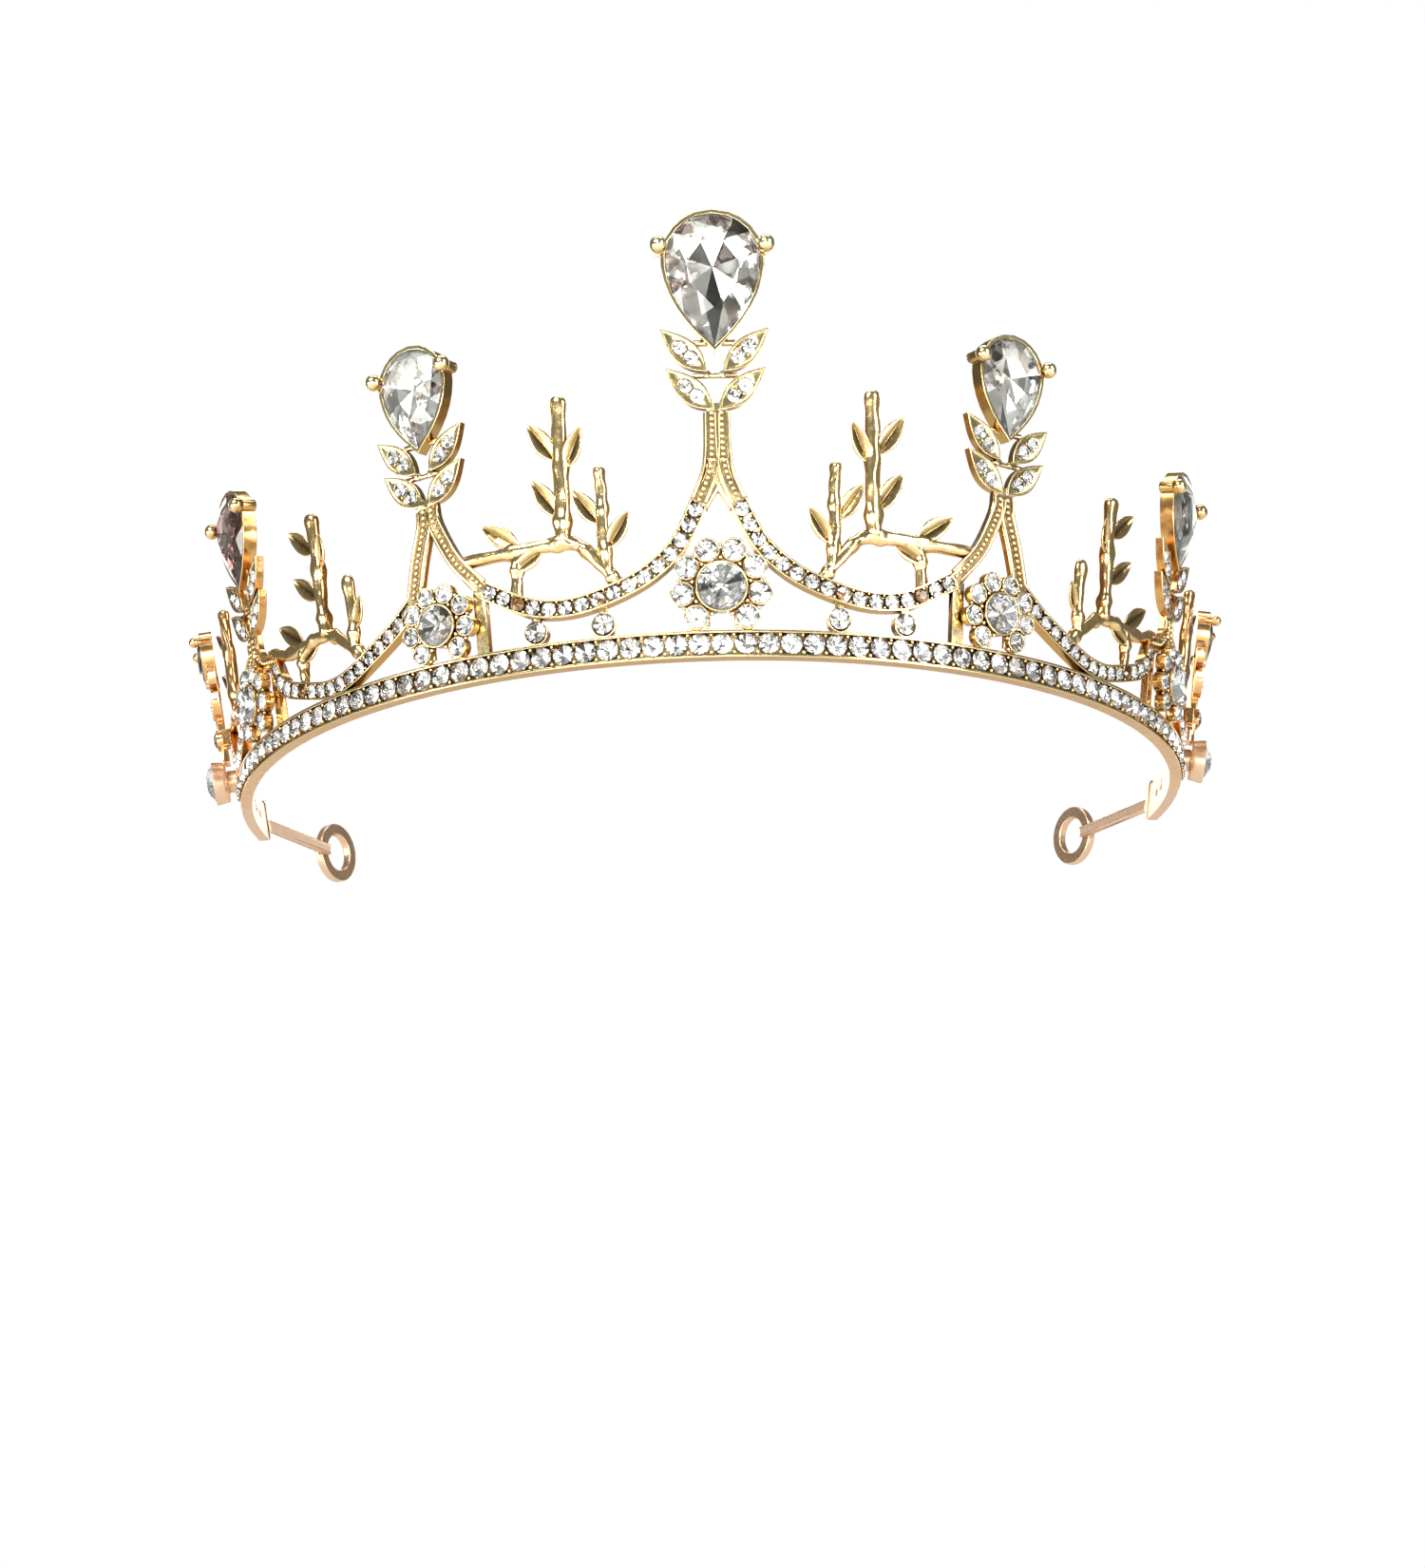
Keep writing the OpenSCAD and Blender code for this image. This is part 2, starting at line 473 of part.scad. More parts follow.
// --- end columns: a small pear, a pair of little leaves and a stone over the end plate
col_ang = band_end + 2.5;
col_pear_z = 21;
col_spray = [[0.5, -1.6, 40], [0.4, -6, 34]];
col_stone_y = -9.3;
col_n = 2;          // the columns stand this far outside the band
col_foot = 13.3;    // length of a column's spine below the pear's tip
module col_place(z) { on_wall(col_ang / mm_deg, z, col_n) children(); }
module end_column() color(gold) {
  col_place(col_pear_z) {
    translate([0, end_pear_h / 2, wall_n]) pear_setting(end_pear_w, end_pear_h, end_claw_r);
    translate([-1.2, -col_foot, wall_n + 0.02]) cube([2.4, col_foot + 0.5, 1.1]);
    // foot that reaches back to the end of the last swag
    translate([-2.2, -10.8, wall_n + 0.1 - col_n]) cube([2.6, 2.6, col_n + 0.6]);
    for (s = [0, 1]) mirror([s, 0, 0]) for (q = col_spray) translate([q[0], q[1], 0])
      rotate(q[2]) leaf_plate(0.62);
    translate([0, col_stone_y, 0]) cup(row_stone_d, 0.22, wall_n + 0.4, seat_n + 0.3);
  }
}
module col_leaf_stones() {
  col_place(col_pear_z) for (s = [0, 1]) mirror([s, 0, 0]) for (q = col_spray)
    translate([q[0], q[1], seat_n]) rotate(q[2]) translate([leaf_seats(0.62)[0] + 0.3, 0, 0])
      round_stone(small_stone_d);
}

// --- ends of the band
plate_end = band_end + 14.5;
arm_z = 3.2;
eye_z = eye_d / 2 + 0.15;
module wall_ring(a0, a1, outline) {
  translate([0, mid_y, 0]) rotate([0, 0, a0 - 90]) rotate_extrude(angle = a1 - a0)
    polygon([for (q = outline) [wall_r(q[1]) + q[0], q[1]]]);
}
module end_plate() color(rose) {
  difference() {
    union() {
      wall_ring(band_end - solder * mm_deg, plate_end, [[-band_t, 0], [-0.1, 0],
        [-0.1, plate_h], [-band_t, plate_h]]);
      // shoulder that narrows to the arm
      on_wall(plate_end / mm_deg, 0, 0) translate([-1, 0, -band_t + 0.05]) linear_extrude(1.3)
        polygon([[0, 0.1], [1, 0.1], [3.4, arm_z - arm_w / 2 - 0.2], [3.4, arm_z + arm_w / 2 + 0.2],
          [1, plate_h], [0, plate_h]]);
    }
    for (t = [8.4, 10.8]) translate([0, mid_y, 0]) rotate([0, 0, band_end + t])
      translate([0, -R + 6, arm_z]) rotate([90, 0, 0]) cylinder(d = 1.1, h = 12);
  }
  // cup of the round stone, on the outside of the plate
  on_wall(col_ang / mm_deg, end_stone_z, 0) {
    translate([0, 0, -0.4]) cylinder(d = end_stone_d - 2.6, h = 1.9);
    translate([0, 0, 1.3]) difference() {
      cylinder(d1 = end_stone_d + 0.1, d2 = end_stone_d + 0.8, h = 2.2);
      translate([0, 0, 0.6]) cylinder(d = end_stone_d - 2 * bite, h = 3);
    }
  }
}
end_stone_z = 5.4;
module end_round() on_wall(col_ang / mm_deg, end_stone_z, 0) translate([0, 0, 3.3])
  rotate_extrude() let (d = end_stone_d) polygon([[0, -1.3], [d / 2, -0.15], [d / 2, 0.15],
    [0.3 * d, 1.4], [0, 1.4]]);
function arm_from() = wall((plate_end + 1.5) / mm_deg, arm_z, -band_t / 2 - 0.15);
function arm_to() = wall(eye_ang / mm_deg, eye_z, -band_t / 2 - 0.15);
module eyelet_arm() color(rose) {
  p = arm_from();
  v = arm_to() - p;
  flat = norm([v[0], v[1]]);
  rise = atan2(v[2], flat);
  difference() {
    union() {
      translate(p) rotate([0, 0, atan2(v[1], v[0])]) rotate([0, -rise, 0])
        translate([0, -eye_t / 2 + 0.05, -arm_w / 2]) cube([norm(v), eye_t - 0.1, arm_w]);
      translate(arm_to()) rotate([0, 0, eye_ang]) rotate([90, 0, 0])
        cylinder(d = eye_d, h = eye_t, center = true);
    }
    translate(arm_to()) rotate([0, 0, eye_ang]) rotate([90, 0, 0])
      cylinder(d = eye_hole, h = 4, center = true);
  }
}

// --- base band and its row
module base_band() color(gold) {
  e = (band_h - row_stone_d) / 2 + bite;
  f = seat_n - pav(row_stone_d) - 0.05;
  wall_ring(-band_end, band_end, [[-band_t, 0], [0, 0], [0, e], [f, e], [f, band_h - e],
    [0, band_h - e], [0, band_h], [-band_t, band_h]]);
}
row_pitch = (row_stone_d + row_gap) * mm_deg * R / (R + seat_n);
row_count = floor((band_end - 0.6) / row_pitch);
module base_row_stones() color(glass) translate([0, mid_y, 0])
  for (i = [-row_count:row_count]) rotate([0, 0, i * (band_end - 0.6) / (row_count + 0.5)])
    translate([0, -wall_r(band_h / 2) - seat_n, band_h / 2]) rotate([90, 0, 0])
      round_stone(row_stone_d);

// --- groups of loose stones
module flower_centre_stones() color(glass) each_flower() {
  flower_centre(1);
  flower_centre(side_flower_scale);
}
module flower_petal_stones() color(glass) each_flower() {
  flower_petals(1);
  flower_petals(side_flower_scale);
}
module leaf_stones() color(glass) {
  head_place(mid_head, tip_z(mid_head)) spray_stones(mid_head[4]);
  for (s = [0, 1]) mirror([s, 0, 0]) {
    for (q = [inner_head, outer_head]) head_place(q, tip_z(q)) spray_stones(q[4]);
    col_leaf_stones();
  }
}
module stones_of(p) color(glass) for (s = [0, 1]) mirror([s, 0, 0])
  stones_on(p, small_stone_d, small_gap);
module inner_swag_stones() stones_of(in_swag());
module outer_swag_stones() stones_of(out_swag());
module end_swag_stones() stones_of(end_swag());
module link_cups() color(gold) for (s = [0, 1]) mirror([s, 0, 0]) for (q = links())
  on_wall(q[0], link_z, wall_n) link_cup(q[1]);
module link_stones() color(glass) for (s = [0, 1]) mirror([s, 0, 0]) {
  for (q = links()) on_wall(q[0], link_z, seat_n + 0.05) round_stone(row_stone_d);
  col_place(col_pear_z) translate([0, col_stone_y, seat_n + 0.15]) round_stone(row_stone_d);
}
module end_pear_stones() color(glass) for (s = [0, 1]) mirror([s, 0, 0])
  col_place(col_pear_z) translate([0, end_pear_h / 2, wall_n + pear_depth - 0.12])
    pear_stone(end_pear_w, end_pear_h);
module end_round_stones() color(glass) for (s = [0, 1]) mirror([s, 0, 0]) end_round();

// --- the sub-parts; every left one mirrors its right one
module middle_leaf_spray() head_spray(mid_head);
module middle_pear_setting() head_setting(mid_head);
module middle_pear_stone() head_stone(mid_head);
module middle_flower_setting() head_flower(mid_head, 1);
module right_inner_frame() side_frame(inner_head);
module right_inner_leaf_spray() head_spray(inner_head);
module right_inner_pear_setting() head_setting(inner_head);
module right_inner_pear_stone() head_stone(inner_head);
module right_inner_flower_setting() head_flower(inner_head, side_flower_scale);
module right_outer_frame() side_frame(outer_head);
module right_outer_leaf_spray() head_spray(outer_head);
module right_outer_pear_setting() head_setting(outer_head);
module right_outer_pear_stone() head_stone(outer_head);
module right_outer_flower_setting() head_flower(outer_head, side_flower_scale);
module right_inner_swag() inner_swag();
module right_outer_swag() outer_swag();
module right_end_swag() last_swag();
module right_inner_sprig() inner_sprig();
module right_outer_sprig() outer_sprig();
module right_end_sprig() end_sprig();
module right_end_column() end_column();
module right_end_plate() end_plate();
module right_eyelet_arm() eyelet_arm();
module left_inner_frame() mirror([1, 0, 0]) side_frame(inner_head);
module left_inner_leaf_spray() mirror([1, 0, 0]) head_spray(inner_head);
module left_inner_pear_setting() mirror([1, 0, 0]) head_setting(inner_head);
module left_inner_pear_stone() mirror([1, 0, 0]) head_stone(inner_head);
module left_inner_flower_setting() mirror([1, 0, 0]) head_flower(inner_head, side_flower_scale);
module left_outer_frame() mirror([1, 0, 0]) side_frame(outer_head);
module left_outer_leaf_spray() mirror([1, 0, 0]) head_spray(outer_head);
module left_outer_pear_setting() mirror([1, 0, 0]) head_setting(outer_head);
module left_outer_pear_stone() mirror([1, 0, 0]) head_stone(outer_head);
module left_outer_flower_setting() mirror([1, 0, 0]) head_flower(outer_head, side_flower_scale);
module left_inner_swag() mirror([1, 0, 0]) inner_swag();
module left_outer_swag() mirror([1, 0, 0]) outer_swag();
module left_end_swag() mirror([1, 0, 0]) last_swag();
module left_inner_sprig() mirror([1, 0, 0]) inner_sprig();
module left_outer_sprig() mirror([1, 0, 0]) outer_sprig();
module left_end_sprig() mirror([1, 0, 0]) end_sprig();
module left_end_column() mirror([1, 0, 0]) end_column();
module left_end_plate() mirror([1, 0, 0]) end_plate();
module left_eyelet_arm() mirror([1, 0, 0]) eyelet_arm();

base_band();
base_row_stones();
middle_frame();
middle_leaf_spray();
middle_pear_setting();
middle_pear_stone();
middle_flower_setting();
right_inner_frame();
right_inner_leaf_spray();
right_inner_pear_setting();
right_inner_pear_stone();
right_inner_flower_setting();
left_inner_frame();
left_inner_leaf_spray();
left_inner_pear_setting();
left_inner_pear_stone();
left_inner_flower_setting();
right_outer_frame();
right_outer_leaf_spray();
right_outer_pear_setting();
right_outer_pear_stone();
right_outer_flower_setting();
left_outer_frame();
left_outer_leaf_spray();
left_outer_pear_setting();
left_outer_pear_stone();
left_outer_flower_setting();
flower_centre_stones();
flower_petal_stones();
leaf_stones();
inner_swag_stones();
outer_swag_stones();
end_swag_stones();
right_inner_swag();
left_inner_swag();
right_outer_swag();
left_outer_swag();
right_end_swag();
left_end_swag();
link_cups();
link_stones();
right_inner_sprig();
left_inner_sprig();
right_outer_sprig();
left_outer_sprig();
right_end_sprig();
left_end_sprig();
right_end_column();
left_end_column();
end_pear_stones();
end_round_stones();
right_end_plate();
left_end_plate();
right_eyelet_arm();
left_eyelet_arm();
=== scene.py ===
"""Bridal tiara: materials, cut stones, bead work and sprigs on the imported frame.
Everything is in metres in the part's own frame; the sizes below are in millimetres."""
import bpy
import bmesh
import math
import random
from mathutils import Matrix, Vector


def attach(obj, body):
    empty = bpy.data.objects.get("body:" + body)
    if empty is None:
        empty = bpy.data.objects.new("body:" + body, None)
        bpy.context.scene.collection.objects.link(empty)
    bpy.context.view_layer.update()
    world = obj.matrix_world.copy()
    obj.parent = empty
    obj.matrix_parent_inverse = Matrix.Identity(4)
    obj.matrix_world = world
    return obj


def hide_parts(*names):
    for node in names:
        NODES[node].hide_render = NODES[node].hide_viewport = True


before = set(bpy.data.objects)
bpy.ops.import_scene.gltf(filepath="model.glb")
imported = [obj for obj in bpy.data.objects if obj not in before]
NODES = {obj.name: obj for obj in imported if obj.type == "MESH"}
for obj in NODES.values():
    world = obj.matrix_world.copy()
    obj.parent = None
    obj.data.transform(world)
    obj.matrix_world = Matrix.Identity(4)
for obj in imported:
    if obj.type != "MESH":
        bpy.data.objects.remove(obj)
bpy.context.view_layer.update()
MM = 0.001

# --- sizes shared with the part, millimetres and degrees
BAND_R = 72.5            # outside radius of the band
MID_Y = 71.6             # centre of the horseshoe, behind the origin
LEAN = 8.8               # outward lean of the crest
SLOPE = math.tan(math.radians(LEAN))
STRIP_N = -0.3           # front of the forked strips
FOOT_Z = 12.0            # height of the feet of the side forks
FOOT_IN, FOOT_OUT = 6.6, 4.6  # from a head's middle to its inner and outer foot
FORK_Z = 20.6            # height where the middle fork meets the swags
STEM_DROP = 8.6          # from a pear's tip down to the top of its fork
COL_ANG = 86.5           # angle of the end columns
HEADS = {
    "middle": dict(ang=0, top=60.3, w=13, h=18.4, size=1, shift=0),
    "inner": dict(ang=31.3, top=47.5, w=10, h=14, size=0.94, shift=0.8),
    "outer": dict(ang=64, top=40.6, w=10, h=14, size=0.94, shift=0),
}
PEAR_WALL = 0.55
END_PEAR = (6, 8)        # width and height of a small end pear
STEM_D, TWIG_D = 2.15, 1.75
TWIG_N = -0.9            # middle of a twig's depth

# the sprig leaves are a little larger than the part's plain ones
LEAF_LEN, LEAF_W = 5.8, 3.0


# --- the leaning wall that every crest piece follows
def wall(a, z, n):
    t = a / BAND_R
    r = BAND_R + SLOPE * z + n
    return Vector((r * math.sin(t), MID_Y - r * math.cos(t), z)) * MM


def arc_scale(z):
    return (BAND_R + SLOPE * z) / BAND_R


def wall_axes(t, lean=LEAN):
    """Along the band, up the wall and outward at angle t round the horseshoe."""
    c, s, k = math.cos(t), math.sin(t), math.radians(lean)
    return (Vector((c, s, 0)),
            Vector((math.sin(k) * s, -math.sin(k) * c, math.cos(k))),
            Vector((math.cos(k) * s, -math.cos(k) * c, -math.sin(k))))


def smooth(pts, m):
    """Smooth line through points, m steps between neighbours."""
    p = [Vector(q) for q in pts]
    p = [2 * p[0] - p[1]] + p + [2 * p[-1] - p[-2]]
    out = []
    for i in range(1, len(p) - 2):
        a, b, c, d = p[i - 1:i + 3]
        for j in range(m):
            t = j / m
            out.append(0.5 * (2 * b + (c - a) * t + (2 * a - 5 * b + 4 * c - d) * t * t
                              + (3 * b - a - 3 * c + d) * t ** 3))
    return out + [p[-2]]


def direction(p, i):
    """Way a line on the wall runs at its point i."""
    a, b = p[max(i - 1, 0)], p[min(i + 1, len(p) - 1)]
    return Vector(((b[0] - a[0]) * arc_scale(p[i][1]), b[1] - a[1])).normalized()


def head_a(h):
    return math.radians(h["ang"]) * BAND_R


def stem_z(h):
    k = math.cos(math.radians(LEAN))
    return h["top"] - (h["h"] + PEAR_WALL) * k - STEM_DROP * h["size"] * k


def in_foot(h):
    return head_a(h) - h["shift"] - FOOT_IN


def out_foot(h):
    return head_a(h) - h["shift"] + FOOT_OUT


# --- small makers
def link(obj):
    bpy.context.scene.collection.objects.link(obj)
    return obj


def mesh_piece(name, verts, faces, materials=()):
    mesh = bpy.data.meshes.new(name)
    mesh.from_pydata([tuple(v) for v in verts], [], faces)
    for m in materials:
        mesh.materials.append(m)
    mesh.update()
    return link(bpy.data.objects.new(name, mesh))


def hand_over(piece, slot, *nodes):
    """The piece stands for these nodes and rides with the body."""
    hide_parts(*nodes)
    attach(piece, "root")


# --- shader groups
def new_group(name, ins, outs):
    g = bpy.data.node_groups.new(name, "ShaderNodeTree")
    for label, kind, value in ins:
        s = g.interface.new_socket(label, in_out="INPUT", socket_type=kind)
        s.default_value = value
    for label, kind in outs:
        g.interface.new_socket(label, in_out="OUTPUT", socket_type=kind)
    return g, g.nodes.new("NodeGroupInput"), g.nodes.new("NodeGroupOutput")


def put(tree, kind, inputs=(), **props):
    n = tree.nodes.new(kind)
    for k, v in props.items():
        setattr(n, k, v)
    for k, v in dict(inputs).items():
        if isinstance(v, bpy.types.NodeSocket):
            tree.links.new(v, n.inputs[k])
        else:
            n.inputs[k].default_value = v
    return n


def math_node(tree, op, a, b=0.0, c=None):
    n = tree.nodes.new("ShaderNodeMath")
    n.operation = op
    for i, v in enumerate((a, b) if c is None else (a, b, c)):
        if isinstance(v, bpy.types.NodeSocket):
            tree.links.new(v, n.inputs[i])
        else:
            n.inputs[i].default_value = v
    return n.outputs[0]


def mix_color(tree, fac, a, b):
    n = tree.nodes.new("ShaderNodeMix")
    n.data_type = "RGBA"
    for socket, v in ((n.inputs[0], fac), (n.inputs[6], a), (n.inputs[7], b)):
        if isinstance(v, bpy.types.NodeSocket):
            tree.links.new(v, socket)
        else:
            socket.default_value = v
    return n.outputs[2]


def plating_group():
    """Gold plate tone: bright front tone on faces that look outward, and a darker, coppery side
    colour on faces turned sideways as painted shade; warmer towards the ends of the band, with a fine
    random mottle. Recesses get their painted shade in plated()."""
    g, i, o = new_group("plating_tone", [
        ("Front Tone", "NodeSocketColor", (1, 0.8, 0.5, 1)),
        ("Shaded Side Tone", "NodeSocketColor", (0.8, 0.45, 0.2, 1)),
        ("End Tone", "NodeSocketColor", (0.9, 0.55, 0.35, 1)),
        ("End Amount", "NodeSocketFloat", 0.6),
        ("Mottle Scale", "NodeSocketFloat", 900.0),
        ("Mottle Amount", "NodeSocketFloat", 0.3),
        ("Roughness", "NodeSocketFloat", 0.2)],
        [("Color", "NodeSocketColor"), ("Roughness", "NodeSocketFloat"),
         ("Height", "NodeSocketFloat")])
    co = g.nodes.new("ShaderNodeTexCoord")
    flat = put(g, "ShaderNodeVectorMath", operation="SUBTRACT")
    g.links.new(co.outputs["Object"], flat.inputs[0])
    flat.inputs[1].default_value = (0, MID_Y * MM, 0)
    level = put(g, "ShaderNodeVectorMath", operation="MULTIPLY")
    g.links.new(flat.outputs[0], level.inputs[0])
    level.inputs[1].default_value = (1, 1, 0)
    out = put(g, "ShaderNodeVectorMath", operation="NORMALIZE")
    g.links.new(level.outputs[0], out.inputs[0])
    # painted shade: the further a face turns away from the outward direction, the more it takes the
    # darker side colour in place of the front tone
    facing = put(g, "ShaderNodeVectorMath", operation="DOT_PRODUCT")
    g.links.new(out.outputs[0], facing.inputs[0])
    g.links.new(co.outputs["Normal"], facing.inputs[1])
    front = put(g, "ShaderNodeMapRange", {"Value": facing.outputs["Value"], "From Min": -0.1,
                                          "From Max": 0.85}, interpolation_type="SMOOTHSTEP")
    split = g.nodes.new("ShaderNodeSeparateXYZ")
    g.links.new(out.outputs[0], split.inputs[0])
    ends = put(g, "ShaderNodeMapRange", {"Value": split.outputs[1], "From Min": -0.93,
                                         "From Max": -0.1}, interpolation_type="SMOOTHSTEP")
    wide = put(g, "ShaderNodeTexNoise", {"Vector": co.outputs["Object"], "Scale": 260.0,
                                         "Detail": 2.0})
    fine = put(g, "ShaderNodeTexNoise", {"Vector": co.outputs["Object"],
                                         "Scale": i.outputs["Mottle Scale"], "Detail": 3.0})
    tone = mix_color(g, front.outputs[0], i.outputs["Shaded Side Tone"], i.outputs["Front Tone"])
    warm = math_node(g, "MULTIPLY", ends.outputs[0], i.outputs["End Amount"])
    tone = mix_color(g, warm, tone, i.outputs["End Tone"])
    # a fine random mottle, darkened towards that same side colour
    spots = put(g, "ShaderNodeMapRange", {"Value": fine.outputs["Fac"], "From Min": 0.45,
                                          "From Max": 0.75})
    dark = math_node(g, "MULTIPLY", spots.outputs[0], i.outputs["Mottle Amount"])
    tone = mix_color(g, dark, tone, i.outputs["Shaded Side Tone"])
    g.links.new(tone, o.inputs["Color"])
    rough = math_node(g, "MULTIPLY_ADD", wide.outputs["Fac"], 0.16, i.outputs["Roughness"])
    rough = math_node(g, "MULTIPLY_ADD", spots.outputs[0], 0.1, rough)
    g.links.new(math_node(g, "SUBTRACT", rough, 0.08), o.inputs["Roughness"])
    g.links.new(math_node(g, "ADD", fine.outputs["Fac"], wide.outputs["Fac"]), o.inputs["Height"])
    return g


PLATING = plating_group()


def plated(name, front, side, end, end_amount=0.6, rough=0.2, mottle=900.0, amount=0.3,
           bump=0.15, depth=0.02, hollow_shade=(0.3, 0.14, 0.04), vein_shade=None):
    mat = bpy.data.materials.new(name)
    mat.use_nodes = True
    t = mat.node_tree
    b = t.nodes["Principled BSDF"]
    b.inputs["Metallic"].default_value = 1.0
    n = t.nodes.new("ShaderNodeGroup")
    n.node_tree = PLATING
    for k, v in {"Front Tone": (*front, 1), "Shaded Side Tone": (*side, 1), "End Tone": (*end, 1),
                 "End Amount": end_amount, "Mottle Scale": mottle, "Mottle Amount": amount,
                 "Roughness": rough}.items():
        n.inputs[k].default_value = v
    tone = n.outputs["Color"]
    # painted shade: the sunken middles of the sprig leaves are pulled towards a dark brown
    if vein_shade:
        line = put(t, "ShaderNodeAttribute", attribute_name="vein_shade")
        tone = mix_color(t, line.outputs["Fac"], tone, (*vein_shade, 1))
    # painted shade: where the AO node finds other metal within about a millimetre, the tone is pulled
    # towards a dark brown
    shade = put(t, "ShaderNodeAmbientOcclusion", {"Distance": 1.1 * MM}, samples=6)
    open_air = put(t, "ShaderNodeMapRange", {"Value": shade.outputs["AO"], "From Min": 0.25,
                                             "From Max": 0.8})
    t.links.new(mix_color(t, open_air.outputs[0], (*hollow_shade, 1), tone), b.inputs["Base Color"])
    t.links.new(n.outputs["Roughness"], b.inputs["Roughness"])
    h = put(t, "ShaderNodeBump", {"Height": n.outputs["Height"], "Strength": bump,
                                  "Distance": depth * MM})
    t.links.new(h.outputs[0], b.inputs["Normal"])
    return mat


def sparkle_group():
    """Foil behind a stone with painted sparkle: every facet gets its own grey, from bright to nearly
    black, and some a coloured grey, painted in place of the reflections the facets would catch.
    """
    g, i, o = new_group("facet_sparkle_tone", [
        ("Bright", "NodeSocketColor", (0.97, 0.98, 0.98, 1)),
        ("Dark Reflection", "NodeSocketColor", (0.1, 0.1, 0.1, 1)),
        ("Tint", "NodeSocketColor", (0.6, 0.5, 0.5, 1)),
        ("Dark Share", "NodeSocketFloat", 0.35),
        ("Tint Share", "NodeSocketFloat", 0.2)], [("Color", "NodeSocketColor"),
                                                  ("Roughness", "NodeSocketFloat")])
    facet = put(g, "ShaderNodeAttribute", attribute_name="facet")
    lot = put(g, "ShaderNodeAttribute", attribute_name="lot")
    co = g.nodes.new("ShaderNodeTexCoord")
    haze = put(g, "ShaderNodeTexNoise", {"Vector": co.outputs["Object"], "Scale": 500.0})
    v = math_node(g, "FRACT", math_node(g, "ADD", facet.outputs["Fac"], lot.outputs["Fac"]))
    v = math_node(g, "MULTIPLY_ADD", haze.outputs["Fac"], 0.16, v)
    v = math_node(g, "SUBTRACT", v, 0.08)
    hard = put(g, "ShaderNodeMapRange", {"Value": v, "From Min": i.outputs["Dark Share"]})
    g.links.new(math_node(g, "MULTIPLY", i.outputs["Dark Share"], 0.45), hard.inputs["From Max"])
    tone = mix_color(g, hard.outputs[0], i.outputs["Bright"], i.outputs["Dark Reflection"])
    # painted reflection: a share of the facets take the coloured grey
    w = math_node(g, "FRACT", math_node(g, "MULTIPLY", v, 7.31))
    tinted = math_node(g, "LESS_THAN", w, i.outputs["Tint Share"])
    g.links.new(mix_color(g, tinted, tone, i.outputs["Tint"]), o.inputs["Color"])
    g.links.new(math_node(g, "MULTIPLY_ADD", haze.outputs["Fac"], 0.12, 0.02),
                o.inputs["Roughness"])
    return g


FACETS = sparkle_group()


def foil(name, bright, dark, tint, dark_share, tint_share, metal=1.0):
    mat = bpy.data.materials.new(name)
    mat.use_nodes = True
    t = mat.node_tree
    b = t.nodes["Principled BSDF"]
    b.inputs["Metallic"].default_value = metal
    n = t.nodes.new("ShaderNodeGroup")
    n.node_tree = FACETS
    for k, v in {"Bright": (*bright, 1), "Dark Reflection": (*dark, 1), "Tint": (*tint, 1),
                 "Dark Share": dark_share, "Tint Share": tint_share}.items():
        n.inputs[k].default_value = v
    t.links.new(n.outputs["Color"], b.inputs["Base Color"])
    t.links.new(n.outputs["Roughness"], b.inputs["Roughness"])
    return mat


def crystal(name, tint):
    mat = bpy.data.materials.new(name)
    mat.use_nodes = True
    t = mat.node_tree
    b = t.nodes["Principled BSDF"]
    b.inputs["Transmission Weight"].default_value = 1.0
    b.inputs["Metallic"].default_value = 0.0
    b.inputs["IOR"].default_value = 1.56
    co = t.nodes.new("ShaderNodeTexCoord")
    haze = put(t, "ShaderNodeTexNoise", {"Vector": co.outputs["Object"], "Scale": 350.0})
    clear = mix_color(t, haze.outputs["Fac"], (*tint, 1), (1, 1, 1, 1))
    t.links.new(clear, b.inputs["Base Color"])
    t.links.new(math_node(t, "MULTIPLY", haze.outputs["Fac"], 0.03), b.inputs["Roughness"])
    return mat


# each gold: front tone, a darker side colour for the painted shade, end tone and end amount; the
# sprig gold also paints shade in the sunken middles of its leaves
PALE_GOLD = plated("pale_gold", (0.92, 0.77, 0.41), (0.46, 0.26, 0.08), (0.85, 0.49, 0.22), 0.65,
                   rough=0.18, amount=0.3, bump=0.45, depth=0.05)
SETTING_GOLD = plated("setting_gold", (0.93, 0.79, 0.43), (0.5, 0.31, 0.1), (0.86, 0.51, 0.23),
                      0.5, rough=0.16, amount=0.25, bump=0.4, depth=0.04)
SPRIG_GOLD = plated("sprig_gold", (0.9, 0.7, 0.34), (0.5, 0.26, 0.08), (0.84, 0.46, 0.19), 0.65,
                    rough=0.17, mottle=1000.0, amount=0.5, bump=0.5, depth=0.1,
                    vein_shade=(0.2, 0.12, 0.04))
ROSE_GOLD = plated("rose_gold", (0.82, 0.61, 0.42), (0.72, 0.46, 0.28), (0.8, 0.57, 0.39), 0.5,
                   rough=0.34, mottle=2200.0, amount=0.25, bump=0.3, depth=0.03)
CRYSTAL = crystal("clear_crystal", (0.95, 0.97, 0.96))
# foils with painted sparkle: bright, nearly black and coloured facets stand in for reflections, and
# the mauve foil paints a pinkish reflection
SMALL_FOIL = foil("small_stone_foil", (0.98, 0.98, 0.98), (0.12, 0.12, 0.11),
                  (0.55, 0.52, 0.46), 0.24, 0.15, 0.85)
PEAR_FOIL = foil("pear_foil", (0.96, 0.95, 0.89), (0.1, 0.098, 0.088), (0.5, 0.4, 0.36), 0.34,
                 0.22, 0.8)
SIDE_FOIL = foil("side_pear_foil", (0.97, 0.98, 0.94), (0.12, 0.12, 0.11), (0.55, 0.5, 0.45), 0.26,
                 0.2, 0.72)
STAR_FOIL = foil("star_foil", (0.99, 0.99, 0.98), (0.2, 0.2, 0.19), (0.75, 0.72, 0.66), 0.28,
                 0.1, 0.8)
